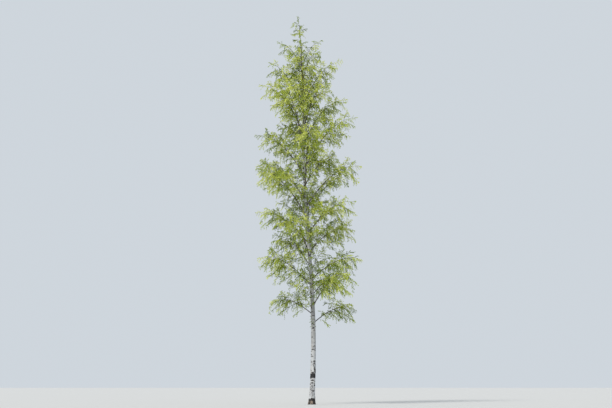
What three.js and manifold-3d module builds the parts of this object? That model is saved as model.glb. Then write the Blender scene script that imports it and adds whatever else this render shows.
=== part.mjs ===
// A birch with one stem, 22 m tall, in fresh spring leaf.
// Millimetres, +Z up. The origin is the middle of the flat cut at ground level.
// The trunk, each bough and each mass of foliage is one closed solid.
import * as THREE from 'three';
import { mergeVertices } from 'three/addons/utils/BufferGeometryUtils.js';
import Module from 'manifold-3d';

const wasm = await Module();
wasm.setup();

const treeHeight = 22000;
const seatGap = 0.3;             // clearance where one piece meets the next
const seed = 94;                 // the number that every chance is worked out from

const trunk = {
  top: 19700,                    // flat end, where the leading shoot carries on
  sides: 18,
  rings: 24,
  ringCrowding: 1.7,             // rings lie closer together towards the foot
  radius: 142,                   // of the stem without its flare, at the ground
  vanishHeight: 22400,           // where the taper would come to a point
  taperPower: 0.85,
  buttress: 22,                  // broad swelling of the lowest metre
  buttressHeight: 1000,
  flare: 45,                     // short root flare at the ground
  flareHeight: 150,
  lobes: [[5, 0.34, 0.6], [3, 0.2, 2.1]],   // count, depth and turn of the flare's lobes
  sway: 120,                     // slow S of the stem, seen from the front
  swayLength: 16000,
  lean: 850,                     // how far the tip leans to -X
  depthSway: 80,                 // the same S seen from the side
  depthSwayLength: 19000,
  depthTurn: 0.6,
};

const crown = {
  limbs: 33,                     // limbs round the stem, lowest first
  boughs: 23,                    // the lowest of them have a bare bough before their foliage
  firstHeight: 4150,
  lastHeight: 19250,
  heightPower: 0.96,
  heightScatter: 240,
  firstBearing: 0.35,
  bearingScatter: 0.5,
  reach: 2650,                   // level distance from the stem to a limb's tip, at the widest
  widestShare: 0.32,             // how far up the limbs the crown is widest
  reachFall: 0.77,
  reachScatter: 0.3,
  lowRise: 25,                   // mean slope of the lowest and the highest limb, in degrees
  highRise: 63,
  riseScatter: 9,
  rootLift: 15,                  // a limb leaves the stem this much steeper than its mean slope
  tipDroop: 30,                  // and its tip is this much flatter
  sideBend: 0.18,
  rootHold: 0.36,                // shares of a limb's length that keep its slope at each end
  tipHold: 0.32,
  massStart: 0.4,                // share of a limb that is bare bough
};

const wood = {
  girth: 0.0092,                 // radius of a limb at its root for each millimetre of its length
  tipRadius: 5,
  taperPower: 0.9,
  collar: 0.45,                  // swelling of a limb where it meets the stem
  collarLength: 0.06,
  boughSides: 6,
  boughRings: 4,
  stemSides: 3,
  stemRings: 5,
  leaderShare: 0.8,              // of the trunk's end, that the leading shoot takes up
  leaderRoot: 60,                // length of its root that the trunk's end cuts off
  leaderVigour: 0.25,
};

const twig = {
  spacing: 235,                  // along a mass's stem
  firstShare: 0.05,
  lastShare: 0.94,
  length: 1480,                  // to the tip of the spray that it ends in
  tipShortening: 0.52,
  lengthScatter: 0.3,
  smallest: 0.5,                 // share of its full length that a twig keeps near the treetop
  spread: 54,                    // degrees between a twig and its stem
  spreadScatter: 16,
  droop: 0.34,
  radius: 8,
  endRadius: 5,
  rootTaper: 24,                 // from its point inside the stem to its full thickness
  tries: [1, 0.8, 0.62],         // a twig with no room is tried shorter, then left out
};

const spray = {
  length: 640,
  width: 480,
  thickness: 20,
  widestShare: 0.42,
  sunk: 5,                       // depth of its pointed root past the middle of the twig
  tipSunk: 60,                   // the spray at a stem's end takes in the last of the stem
  smallest: 0.68,                // share of its full size that a spray keeps near the treetop
  spread: 50,                    // degrees between a side spray and its twig
  droop: 0.42,
  sizeScatter: 0.25,
  places: [0.16, 0.34, 0.52],    // shares of a twig that carry a side spray
  shortTwig: 640,                // a shorter twig carries one less
};

const room = {
  betweenMasses: 60,             // how much nearer a point lies to its own stem than to another
  twigToLimb: 24,
  sprayToLimb: 78,
  betweenSprays: 85,             // within one mass, from sample to sample of two blades
  samples: 8,                    // points along a curve that distances are measured to
  lineStart: 0.12,               // where a mass with no bough starts to claim its space
  twigShares: [0.3, 0.5, 0.75, 1],
  bladeShares: [0.2, 0.42, 0.7, 1],
  bladeHands: [-1, -0.4, 0.4, 1],
};

const finishes = {
  bark: { color: 0xd9dad6, roughness: 0.82, metalness: 0 },
  bough: { color: 0x4a3d35, roughness: 0.85, metalness: 0 },
  leaf: { color: 0x8fa03c, roughness: 0.6, metalness: 0 },
};

const goldenAngle = Math.PI * (3 - Math.sqrt(5));
const degree = Math.PI / 180;
const upward = new THREE.Vector3(0, 0, 1);
const mix = THREE.MathUtils.lerp;

// A number from 0 to 1 that depends only on the seed and on what it is asked for.
function chance(...keys) {
  let word = seed;
  for (const key of keys) {
    word = Math.imul(word ^ (key + 0x9e3779b9), 0x85ebca6b) >>> 0;
    word = Math.imul(word ^ (word >>> 13), 0xc2b2ae35) >>> 0;
    word = (word ^ (word >>> 16)) >>> 0;
  }
  return word / 4294967296;
}

const scatter = (...keys) => chance(...keys) - 0.5;

// The stem's middle at a height.
function stemMiddle(height) {
  const sway = trunk.sway * Math.sin(2 * Math.PI * height / trunk.swayLength);
  const lean = trunk.lean * (height / treeHeight) ** 2;
  const turn = 2 * Math.PI * height / trunk.depthSwayLength + trunk.depthTurn;
  const depth = trunk.depthSway * (Math.sin(turn) - Math.sin(trunk.depthTurn));
  return new THREE.Vector3(sway - lean, depth, height);
}

function stemRadius(height, angle) {
  const taper = Math.max(1 - height / trunk.vanishHeight, 0) ** trunk.taperPower;
  const buttress = trunk.buttress * Math.exp(-height / trunk.buttressHeight);
  let lobing = 1;
  for (const [count, depth, turn] of trunk.lobes) lobing += depth * Math.cos(count * angle + turn);
  const flare = trunk.flare * Math.exp(-height / trunk.flareHeight) * lobing;
  return trunk.radius * taper + buttress + flare;
}

const meanRadius = (height) => stemRadius(height, 0);

// A shape with shared vertices, and without the faces that its pointed ends leave flat.
function closed(shape) {
  shape.deleteAttribute('normal');
  shape.deleteAttribute('uv');
  const merged = mergeVertices(shape);
  const corners = merged.index.array;
  const faces = [];
  for (let i = 0; i < corners.length; i += 3) {
    const face = [corners[i], corners[i + 1], corners[i + 2]];
    if (new Set(face).size === 3) faces.push(...face);
  }
  merged.setIndex(faces);
  return merged;
}

function toSolid(shape) {
  return new wasm.Manifold(new wasm.Mesh({
    numProp: 3,
    vertProperties: shape.attributes.position.array,
    triVerts: new Uint32Array(shape.index.array),
  }));
}

function toShape(solid) {
  const mesh = solid.getMesh();
  const shape = new THREE.BufferGeometry();
  shape.setAttribute('position', new THREE.BufferAttribute(mesh.vertProperties, 3));
  shape.setIndex(new THREE.BufferAttribute(mesh.triVerts, 1));
  return shape;
}

// The trunk, told from an origin and grown all round by a clearance.
function trunkShape(origin, growth) {
  const shape = new THREE.CylinderGeometry(1, 1, 1, trunk.sides, trunk.rings);
  const places = shape.attributes.position;
  const outward = growth / Math.cos(Math.PI / trunk.sides);
  for (let i = 0; i < places.count; i += 1) {
    const share = places.getY(i) + 0.5;
    const height = trunk.top * share ** trunk.ringCrowding;
    const lift = share > 0.999 ? growth : 0;
    const middle = stemMiddle(height);
    const spoke = Math.hypot(places.getX(i), places.getZ(i));
    const angle = Math.atan2(-places.getZ(i), places.getX(i));
    const radius = spoke > 0.5 ? stemRadius(height, angle) + outward : 0;
    places.setXYZ(
      i,
      middle.x + radius * Math.cos(angle) - origin.x,
      middle.y + radius * Math.sin(angle) - origin.y,
      height + lift - origin.z,
    );
  }
  return closed(shape);
}

// A limb, twig or blade: a cylinder whose rings are set across a curve at stations.
// A station gives its share of the curve and its size both ways across it.
// side is a level direction square to the curve, and roll turns the rings from it.
function sweptShape({ curve, stations, side, roll = 0, sides, shift = 0 }, origin) {
  const last = stations.length - 1;
  const shape = new THREE.CylinderGeometry(1, 1, 1, sides, last);
  const places = shape.attributes.position;
  for (let i = 0; i < places.count; i += 1) {
    const station = stations[Math.round((places.getY(i) + 0.5) * last)];
    const along = curve.getTangent(station.share);
    const across = side.clone().addScaledVector(along, -side.dot(along)).normalize()
      .applyAxisAngle(along, roll);
    const over = across.clone().cross(along);
    const spoke = Math.hypot(places.getX(i), places.getZ(i)) || 1;
    const place = curve.getPoint(station.share)
      .addScaledVector(along, shift)
      .addScaledVector(across, places.getX(i) * station.across / spoke)
      .addScaledVector(over, places.getZ(i) * station.over / spoke)
      .sub(origin);
    places.setXYZ(i, place.x, place.y, place.z);
  }
  return closed(shape);
}

// Evenly spaced round stations of a tapering limb.
function roundStations(from, to, count, radiusAt) {
  return Array.from({ length: count + 1 }, (_, i) => {
    const share = mix(from, to, i / count);
    return { share, across: radiusAt(share), over: radiusAt(share) };
  });
}

const pointAt = (share) => ({ share, across: 0, over: 0 });

// The three-sided blade of a spray, from a share of its line to the line's end.
function bladeStations(from, scale) {
  const widest = {
    share: mix(from, 1, spray.widestShare),
    across: spray.width * scale / Math.sqrt(3),
    over: spray.thickness / 1.5,
  };
  return [widest, pointAt(1)];
}

function slope(bearing, pitch) {
  return new THREE.Vector3(
    Math.cos(bearing) * Math.cos(pitch),
    Math.sin(bearing) * Math.cos(pitch),
    Math.sin(pitch),
  );
}

// One limb's line, from the stem's middle to its tip, and how thick it is.
function planLimb(index) {
  const order = index / (crown.limbs - 1);
  const height = mix(crown.firstHeight, crown.lastHeight, order ** crown.heightPower)
    + crown.heightScatter * scatter(index, 1);
  const bearing = crown.firstBearing + index * goldenAngle + crown.bearingScatter * scatter(index, 2);
  const fullness = 1 - ((order - crown.widestShare) / crown.reachFall) ** 2;
  const reach = crown.reach * fullness * (1 + crown.reachScatter * scatter(index, 3));
  const rise = (mix(crown.lowRise, crown.highRise, order) + crown.riseScatter * scatter(index, 4)) * degree;
  const length = reach / Math.cos(rise);
  const side = new THREE.Vector3(-Math.sin(bearing), Math.cos(bearing), 0);
  const root = stemMiddle(height);
  const tip = root.clone()
    .addScaledVector(slope(bearing, rise), length)
    .addScaledVector(side, crown.sideBend * reach * scatter(index, 5));
  const curve = new THREE.CubicBezierCurve3(
    root,
    root.clone().addScaledVector(slope(bearing, rise + crown.rootLift * degree), length * crown.rootHold),
    tip.clone().addScaledVector(slope(bearing, rise - crown.tipDroop * degree), -length * crown.tipHold),
    tip,
  );
  const rootRadius = wood.girth * length;
  const radiusAt = (share) => wood.tipRadius
    + rootRadius * (1 - share) ** wood.taperPower * (1 + wood.collar * Math.exp(-share / wood.collarLength));
  const hasBough = index < crown.boughs;
  const massStart = hasBough ? crown.massStart : 0;
  return { index, curve, side, length, radiusAt, hasBough, massStart, vigour: reach / crown.reach };
}

// The leading shoot carries the stem's own line on, and its last spray reaches the treetop.
class LeaderLine extends THREE.Curve {
  getPoint(share) {
    const tip = treeHeight - spray.length * leastSpray(wood.leaderVigour) + spray.tipSunk;
    return stemMiddle(mix(trunk.top - wood.leaderRoot, tip, share));
  }
}

function planLeader() {
  return {
    index: crown.limbs,
    curve: new LeaderLine(),
    side: new THREE.Vector3(0, 1, 0),
    length: treeHeight - trunk.top,
    radiusAt: (share) => mix(meanRadius(trunk.top) * wood.leaderShare, wood.tipRadius, share),
    hasBough: false,
    massStart: 0,
    vigour: wood.leaderVigour,
  };
}

const limbs = Array.from({ length: crown.limbs }, (_, index) => planLimb(index));
limbs.push(planLeader());

// Straight pieces that stand in for a curve when distances are measured.
function sampleLine(curve, from, to, radiusAt) {
  const line = [];
  for (let i = 0; i <= room.samples; i += 1) {
    const share = mix(from, to, i / room.samples);
    line.push({ place: curve.getPoint(share), radius: radiusAt(share) });
  }
  return line;
}

const trunkLine = [];
for (let height = 3000; height <= trunk.top; height += 500) {
  trunkLine.push({ place: stemMiddle(height), radius: meanRadius(height) });
}
const boughLines = limbs.filter((limb) => limb.hasBough)
  .map((limb) => sampleLine(limb.curve, 0, limb.massStart, limb.radiusAt));
const woodLines = [trunkLine, ...boughLines];
const massLines = limbs.map((limb) => {
  return sampleLine(limb.curve, Math.max(limb.massStart, room.lineStart), 1, () => 0);
});

// Distance from a point to a line's surface.
function distanceTo(line, point) {
  const stretch = new THREE.Line3();
  const nearest = new THREE.Vector3();
  let least = Infinity;
  for (let i = 1; i < line.length; i += 1) {
    stretch.set(line[i - 1].place, line[i].place);
    stretch.closestPointToPoint(point, true, nearest);
    least = Math.min(least, nearest.distanceTo(point) - line[i].radius);
  }
  return least;
}

// Whether points lie in a mass's own space and clear of the trunk and boughs.
function hasRoom(limb, points, toWood) {
  return points.every((point) => {
    const own = distanceTo(massLines[limb.index], point);
    const others = massLines.every((line, index) => {
      return index === limb.index || distanceTo(line, point) > own + room.betweenMasses;
    });
    return others && woodLines.every((line) => distanceTo(line, point) > toWood);
  });
}

// One twig's line: it leaves its stem at an angle and droops in an upright plane.
function planTwig(limb, number, count) {
  const along = (number + 0.5) / count;
  const share = mix(limb.massStart, 1, mix(twig.firstShare, twig.lastShare, along));
  const tangent = limb.curve.getTangent(share);
  const over = limb.side.clone().cross(tangent);
  const around = number * goldenAngle + 2 * Math.PI * chance(limb.index, 7);
  const spread = (twig.spread + twig.spreadScatter * scatter(limb.index, number, 8)) * degree;
  const outward = tangent.multiplyScalar(Math.cos(spread))
    .addScaledVector(limb.side, Math.sin(spread) * Math.cos(around))
    .addScaledVector(over, Math.sin(spread) * Math.sin(around));
  const fullLength = twig.length * mix(1, twig.tipShortening, along)
    * mix(twig.smallest, 1, limb.vigour) * (1 + twig.lengthScatter * scatter(limb.index, number, 9));
  const side = new THREE.Vector3().crossVectors(outward, upward).normalize();
  return { number, root: limb.curve.getPoint(share), outward, side, fullLength };
}

// A spray's share of its full size before chance, from how strong its limb is.
function leastSpray(vigour) {
  return mix(spray.smallest, 1, vigour);
}

// The twig at its full length or a share of it, ending in a spray.
function twigWithSpray(limb, plan, size) {
  const length = plan.fullLength * size;
  const curve = new THREE.QuadraticBezierCurve3(
    plan.root,
    plan.root.clone().addScaledVector(plan.outward, length * 0.5),
    plan.root.clone().addScaledVector(plan.outward, length).addScaledVector(upward, -twig.droop * length),
  );
  const scale = spraySize(limb, plan.number, 0);
  const bladeFrom = Math.max(1 - spray.length * scale / length, 0.3);
  const stations = [
    pointAt(0),
    { share: twig.rootTaper / length, across: twig.radius, over: twig.radius },
    { share: bladeFrom, across: twig.endRadius, over: twig.endRadius },
    ...bladeStations(bladeFrom, scale),
  ];
  const roll = Math.PI * chance(limb.index, plan.number, 10);
  return { curve, stations, side: plan.side, roll, sides: 3, length, bladeFrom, scale };
}

function spraySize(limb, ...keys) {
  return leastSpray(limb.vigour) * (1 + spray.sizeScatter * scatter(limb.index, ...keys, 12));
}

// The sprays at a twig's sides, alternately left and right, and hanging a little.
function sideSprays(limb, plan, grown) {
  const places = grown.length < spray.shortTwig ? spray.places.slice(1) : spray.places;
  return places.map((share, turn) => {
    const hand = (turn + plan.number) % 2 ? 1 : -1;
    const lean = spray.spread * degree * hand;
    const along = grown.curve.getTangent(share).multiplyScalar(Math.cos(lean))
      .addScaledVector(plan.side, Math.sin(lean))
      .addScaledVector(upward, -spray.droop)
      .normalize();
    const scale = spraySize(limb, plan.number, turn + 1);
    const side = new THREE.Vector3().crossVectors(along, upward).normalize();
    const roll = Math.PI * chance(limb.index, plan.number, turn + 1, 11);
    return looseSpray(grown.curve.getPoint(share), along, side, roll, scale);
  });
}

// A spray that grows straight from a point of a twig.
function looseSpray(place, along, side, roll, scale, sunk = spray.sunk) {
  const root = place.clone().addScaledVector(along, -sunk);
  const curve = new THREE.LineCurve3(root, root.clone().addScaledVector(along, spray.length * scale));
  const stations = [pointAt(0), ...bladeStations(0, scale)];
  return { curve, stations, side, roll, sides: 3, bladeFrom: 0, scale };
}

// Points over a spray's blade, to test for room.
function bladePoints({ curve, side, roll, bladeFrom, scale }) {
  const points = [];
  for (const share of room.bladeShares) {
    const place = mix(bladeFrom, 1, share);
    const narrowing = share < spray.widestShare ? share / spray.widestShare
      : (1 - share) / (1 - spray.widestShare);
    const along = curve.getTangent(place);
    const across = side.clone().addScaledVector(along, -side.dot(along)).normalize()
      .applyAxisAngle(along, roll);
    for (const hand of share < 1 ? room.bladeHands : [0]) {
      points.push(curve.getPoint(place)
        .addScaledVector(across, hand * narrowing * spray.width * scale / 2));
    }
  }
  return points;
}

const twigPoints = (curve) => room.twigShares.map((share) => curve.getPoint(share));

// Every twig and spray that has room in one limb's mass.
function growMass(limb) {
  const stretch = limb.length * (1 - limb.massStart);
  const count = Math.max(3, Math.round(stretch / twig.spacing));
  const grown = [];
  const taken = [];
  const fits = (blade) => {
    const points = bladePoints(blade);
    const apart = taken.every((other) => points.every((point) => {
      return other.every((place) => place.distanceTo(point) > room.betweenSprays);
    }));
    return apart && hasRoom(limb, points, room.sprayToLimb);
  };
  const keep = (piece) => {
    grown.push(piece);
    taken.push(bladePoints(piece));
  };
  const tipAlong = limb.curve.getTangent(1).addScaledVector(upward, -spray.droop / 2).normalize();
  const tipScale = leastSpray(limb.vigour);
  const tipRoll = Math.PI * chance(limb.index, 13);
  keep(looseSpray(limb.curve.getPoint(1), tipAlong, limb.side, tipRoll, tipScale, spray.tipSunk));
  for (let number = 0; number < count; number += 1) {
    const plan = planTwig(limb, number, count);
    const size = twig.tries.find((part) => {
      const piece = twigWithSpray(limb, plan, part);
      return hasRoom(limb, twigPoints(piece.curve), room.twigToLimb) && fits(piece);
    });
    if (size) {
      const piece = twigWithSpray(limb, plan, size);
      keep(piece);
      sideSprays(limb, plan, piece).filter(fits).forEach(keep);
    }
  }
  return grown;
}

// The mass as one solid: stem, twigs and sprays joined, and loose scraps dropped.
function massSolid(limb, origin) {
  const stem = {
    curve: limb.curve,
    stations: roundStations(limb.massStart, 1, wood.stemRings, limb.radiusAt),
    side: limb.side,
    sides: wood.stemSides,
    shift: limb.hasBough ? seatGap : 0,
  };
  let solid = toSolid(sweptShape(stem, origin));
  for (const piece of growMass(limb)) solid = solid.add(toSolid(sweptShape(piece, origin)));
  if (!limb.hasBough) solid = solid.subtract(toSolid(trunkShape(origin, seatGap)));
  return solid.decompose().reduce((main, piece) => (piece.volume() > main.volume() ? piece : main));
}

function boughSolid(limb, origin) {
  const bough = {
    curve: limb.curve,
    stations: roundStations(0, limb.massStart, wood.boughRings, limb.radiusAt),
    side: limb.side,
    sides: wood.boughSides,
  };
  return toSolid(sweptShape(bough, origin)).subtract(toSolid(trunkShape(origin, seatGap)));
}

const birch = new THREE.Group();

function addPiece(name, shape, finish, origin) {
  const piece = new THREE.Mesh(shape, new THREE.MeshStandardMaterial(finish));
  piece.name = name;
  piece.position.copy(origin);
  birch.add(piece);
}

const number = (index) => String(index + 1).padStart(2, '0');
const foot = new THREE.Vector3(0, 0, 0);
addPiece('trunk', trunkShape(foot, 0), finishes.bark, foot);
for (const limb of limbs) {
  const isLeader = limb.index === crown.limbs;
  if (limb.hasBough) {
    const origin = limb.curve.getPoint(0);
    addPiece(`bough_${number(limb.index)}`, toShape(boughSolid(limb, origin)), finishes.bough, origin);
  }
  const origin = limb.curve.getPoint(limb.massStart);
  const name = isLeader ? 'foliage_top' : `foliage_${number(limb.index)}`;
  addPiece(name, toShape(massSolid(limb, origin)), finishes.leaf, origin);
}

export default birch;
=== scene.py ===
# A birch with one stem, 22 m tall, in fresh spring leaf. Metres, +Z up, front towards -Y.
import math

import bpy
import numpy as np
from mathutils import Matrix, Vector


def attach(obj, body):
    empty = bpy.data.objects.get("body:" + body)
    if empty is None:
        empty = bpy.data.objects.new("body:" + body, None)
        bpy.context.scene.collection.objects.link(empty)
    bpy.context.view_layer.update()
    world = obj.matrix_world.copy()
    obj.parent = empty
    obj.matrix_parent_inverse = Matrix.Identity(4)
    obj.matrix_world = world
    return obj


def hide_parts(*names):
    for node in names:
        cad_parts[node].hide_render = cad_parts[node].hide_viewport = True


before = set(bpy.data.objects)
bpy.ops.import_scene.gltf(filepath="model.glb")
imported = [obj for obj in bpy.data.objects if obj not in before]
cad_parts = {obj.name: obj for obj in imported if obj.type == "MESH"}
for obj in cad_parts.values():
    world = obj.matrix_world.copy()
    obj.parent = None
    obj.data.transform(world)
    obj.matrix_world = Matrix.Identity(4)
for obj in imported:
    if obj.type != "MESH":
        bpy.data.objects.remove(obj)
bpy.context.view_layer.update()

treeHeight = 22.0
seed = 94
fullTurn = 2 * math.pi
goldenAngle = math.pi * (3 - math.sqrt(5))
upward = np.array([0.0, 0.0, 1.0])


# Chance and noise

def chance(*keys):  # 0 to 1, from the seed and the keys; the last key tells one use from another
    full = 0xffffffff  # the other large numbers here only stir the bits
    word = seed
    for key in keys:
        word = ((word ^ ((key + 0x9e3779b9) & full)) * 0x85ebca6b) & full
        word = ((word ^ (word >> 13)) * 0xc2b2ae35) & full
        word = word ^ (word >> 16)
    return word / (full + 1)


def scatter(*keys):  # -0.5 to 0.5
    return chance(*keys) - 0.5


def mix(low, high, share):
    return low + (high - low) * share


def within(bounds, *keys):
    return mix(*bounds, chance(*keys))


def smooth(value, low, high):  # 0 below low, 1 above high
    share = np.clip((value - low) / (high - low), 0, 1)
    return share * share * (3 - 2 * share)


def nearTurn(angle):  # the same direction between a half turn back and a half turn on
    return (angle + math.pi) % fullTurn - math.pi


def above(value, level, half):  # 0 to 1 as the value passes the level
    return smooth(value, level - half, level + half)


def humps(value, rows):  # bell curves added up: height, place and width of each
    return sum(height * np.exp(-((value - place) / width) ** 2) for height, place, width in rows)


def unit(vectors):
    return vectors / np.maximum(np.linalg.norm(vectors, axis=-1, keepdims=True), 1e-9)


def valueNoise(points, scale, salt=0):  # smooth noise, 0 to 1, one value for each point
    cell = points * scale
    low = np.floor(cell).astype(np.int64)
    part = cell - low
    part = part * part * (3 - 2 * part)
    total = np.zeros(len(points))
    for corner in range(8):
        step = np.array([corner & 1, corner >> 1 & 1, corner >> 2 & 1])
        place = (low + step) & 0xffff
        word = (place[:, 0] * 73856093 ^ place[:, 1] * 19349663 ^ place[:, 2] * 83492791) + salt * 7919
        word = (word ^ (word >> 13)) * 1274126177 & 0x7fffffff
        value = ((word ^ (word >> 16)) & 0xffff) / 0xffff
        total += value * np.prod(np.where(step == 1, part, 1 - part), axis=1)
    return total


# Stem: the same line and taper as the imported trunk

trunk = {
    "top": 19.7,
    "radius": 0.142,
    "vanishHeight": 22.4,
    "taperPower": 0.85,
    "buttress": 0.022,
    "buttressHeight": 1.0,
    "flare": 0.045,
    "flareHeight": 0.15,
    "lobes": [(5, 0.34, 0.6), (3, 0.2, 2.1)],
    "sway": 0.12,
    "swayLength": 16.0,
    "lean": 0.85,  # of the top, to the left
    "depthSway": 0.08,
    "depthSwayLength": 19.0,
    "depthTurn": 0.6,
}


def stemMiddle(height):
    height = np.asarray(height, dtype=float)
    sway = trunk["sway"] * np.sin(fullTurn * height / trunk["swayLength"])
    lean = trunk["lean"] * (height / treeHeight) ** 2
    turn = fullTurn * height / trunk["depthSwayLength"] + trunk["depthTurn"]
    depth = trunk["depthSway"] * (np.sin(turn) - math.sin(trunk["depthTurn"]))
    return np.stack([sway - lean, depth, height], axis=-1)


def stemRadius(height, angle=0.0):
    taper = np.maximum(1 - height / trunk["vanishHeight"], 0) ** trunk["taperPower"]
    buttress = trunk["buttress"] * np.exp(-height / trunk["buttressHeight"])
    lobing = 1.0
    for count, depth, turn in trunk["lobes"]:
        lobing = lobing + depth * np.cos(count * angle + turn)
    flare = trunk["flare"] * np.exp(-height / trunk["flareHeight"]) * lobing
    return trunk["radius"] * taper + buttress + flare


# Limbs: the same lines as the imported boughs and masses

crown = {
    "limbs": 33,
    "boughs": 23,  # the lowest limbs, whose wood is bare at first
    "firstHeight": 4.15,
    "lastHeight": 19.25,
    "heightPower": 0.96,
    "heightScatter": 0.24,
    "firstBearing": 0.35,
    "bearingScatter": 0.5,
    "reach": 2.65,
    "widestShare": 0.32,
    "reachFall": 0.77,
    "reachScatter": 0.3,
    "rise": (25, 63),  # of the lowest and the highest limb
    "riseScatter": 9,
    "rootLift": math.radians(15),
    "rootHold": 0.36,
    "tipDroop": math.radians(30),
    "tipHold": 0.32,
    "sideBend": 0.18,
    "massStart": 0.4,
}

wood = {
    "girth": 0.0092,
    "tipRadius": 0.005,
    "taperPower": 0.9,
    "collar": 0.45,
    "collarLength": 0.06,
    "leaderShare": 0.8,
    "leaderRoot": 0.06,
    "leaderVigour": 0.25,
    "shootLength": 1.1,  # of a twig with its full girth
    "shootGirths": (0.45, 1.2),  # least and most of that girth
}

twig = {
    "spacing": 0.235,
    "fewest": 3,
    "firstShare": 0.05,
    "lastShare": 0.94,
    "length": 1.48,
    "tipShortening": 0.52,
    "lengthScatter": 0.3,
    "smallest": 0.5,
    "spread": 54,
    "spreadScatter": 16,
    "droop": 0.34,
    "bareLeast": 0.3,
    "tries": [1, 0.8, 0.62],
}

spray = {
    "length": 0.64,
    "width": 0.48,
    "widestShare": 0.42,
    "sunk": 0.005,
    "tipSunk": 0.06,
    "smallest": 0.68,
    "spread": 50,
    "droop": 0.42,
    "sizeScatter": 0.25,
    "places": [0.16, 0.34, 0.52],
    "shortTwig": 0.64,
}

room = {
    "betweenMasses": 0.06,
    "twigToLimb": 0.024,
    "sprayToLimb": 0.078,
    "betweenSprays": 0.085,
    "samples": 8,
    "lineStart": 0.12,
    "stemFrom": 3.0,
    "stemStep": 0.5,
    "twigShares": np.array([0.3, 0.5, 0.75, 1]),
    "bladeShares": [0.2, 0.42, 0.7, 1],
    "bladeHands": [-1, -0.4, 0.4, 1],
}


def slope(bearing, pitch):
    level = math.cos(pitch)
    return np.array([math.cos(bearing) * level, math.sin(bearing) * level, math.sin(pitch)])


def bezier(points):  # a curve through control points, for one share or many
    ends = len(points) - 1

    def place(share):
        share = np.asarray(share, dtype=float)[..., None]
        return sum(
            math.comb(ends, i) * share**i * (1 - share) ** (ends - i) * point
            for i, point in enumerate(points)
        )

    return place


def tangentOf(curve, share, step=1e-4):
    return unit(curve(np.minimum(share + step, 1)) - curve(np.maximum(share - step, 0)))


def fullness(share):  # of the crown's reach, from its lowest limb to its highest
    return 1 - ((share - crown["widestShare"]) / crown["reachFall"]) ** 2


def limbLine(height, bearing, rise, reach, swing, bends):
    length = reach / math.cos(rise)
    side = np.array([-math.sin(bearing), math.cos(bearing), 0])
    root = stemMiddle(height)
    tip = root + slope(bearing, rise) * length + side * bends["sideBend"] * reach * swing
    curve = bezier([
        root,
        root + slope(bearing, rise + bends["rootLift"]) * length * bends["rootHold"],
        tip - slope(bearing, rise - bends["tipDroop"]) * length * bends["tipHold"],
        tip,
    ])
    return {"curve": curve, "side": side, "length": length, "bearing": bearing, "height": height}


def planLimb(index):
    order = index / (crown["limbs"] - 1)
    height = mix(crown["firstHeight"], crown["lastHeight"], order ** crown["heightPower"])
    height += crown["heightScatter"] * scatter(index, 1)
    bearing = crown["firstBearing"] + index * goldenAngle + crown["bearingScatter"] * scatter(index, 2)
    reach = crown["reach"] * fullness(order) * (1 + crown["reachScatter"] * scatter(index, 3))
    rise = math.radians(mix(*crown["rise"], order) + crown["riseScatter"] * scatter(index, 4))
    limb = limbLine(height, bearing, rise, reach, scatter(index, 5), crown)
    rootRadius = wood["girth"] * limb["length"]

    def radiusAt(share):
        swelling = 1 + wood["collar"] * np.exp(-share / wood["collarLength"])
        return wood["tipRadius"] + rootRadius * (1 - share) ** wood["taperPower"] * swelling

    hasBough = index < crown["boughs"]
    return limb | {
        "index": index, "radiusAt": radiusAt, "vigour": reach / crown["reach"],
        "hasBough": hasBough, "massStart": crown["massStart"] if hasBough else 0.0,
    }


def leastSpray(vigour):
    return mix(spray["smallest"], 1, vigour)


def planLeader():
    low = trunk["top"] - wood["leaderRoot"]
    high = treeHeight - spray["length"] * leastSpray(wood["leaderVigour"]) + spray["tipSunk"]
    rootRadius = stemRadius(trunk["top"]) * wood["leaderShare"]
    return {
        "index": crown["limbs"], "curve": lambda share: stemMiddle(mix(low, high, share)),
        "side": np.array([0.0, 1.0, 0.0]), "length": treeHeight - trunk["top"],
        "radiusAt": lambda share: mix(rootRadius, wood["tipRadius"], share),
        "hasBough": False, "massStart": 0.0, "vigour": wood["leaderVigour"],
    }


limbs = [planLimb(index) for index in range(crown["limbs"])] + [planLeader()]


# Room: each mass keeps to the space nearest its own stem, clear of the wood

def sampleLine(curve, low, high, radiusAt):
    shares = np.linspace(low, high, room["samples"] + 1)
    return curve(shares), np.array([float(radiusAt(share)) for share in shares])


def distanceTo(line, points):
    places, radii = line
    begin = places[:-1]
    span = places[1:] - begin
    reach = points[:, None, :] - begin
    share = np.clip((reach * span).sum(-1) / (span * span).sum(-1), 0, 1)
    nearest = begin + share[..., None] * span
    return (np.linalg.norm(points[:, None, :] - nearest, axis=-1) - radii[1:]).min(axis=1)


stemHeights = np.arange(room["stemFrom"], trunk["top"] + 1e-6, room["stemStep"])
woodLines = [(stemMiddle(stemHeights), stemRadius(stemHeights))]  # of the bare wood
for limb in limbs:
    if limb["hasBough"]:
        woodLines.append(sampleLine(limb["curve"], 0, limb["massStart"], limb["radiusAt"]))
massLines = [
    sampleLine(limb["curve"], max(limb["massStart"], room["lineStart"]), 1, lambda share: 0.0)
    for limb in limbs
]


def clearOfWood(points, margin):
    return all((distanceTo(line, points) > margin).all() for line in woodLines)


def hasRoom(limb, points, margin):
    own = distanceTo(massLines[limb["index"]], points)
    for index, line in enumerate(massLines):
        if index != limb["index"] and (distanceTo(line, points) <= own + room["betweenMasses"]).any():
            return False
    return clearOfWood(points, margin)


# Main twigs and sprays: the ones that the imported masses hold

def turned(vector, axis, angle):
    return vector * math.cos(angle) + np.cross(axis, vector) * math.sin(angle)


def leaning(stem, share, turn, lean):  # a direction that leans off a stem, turned round it
    tangent = tangentOf(stem["curve"], share)
    over = np.cross(stem["side"], tangent)
    return tangent * math.cos(lean) + math.sin(lean) * (stem["side"] * math.cos(turn) + over * math.sin(turn))


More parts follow.
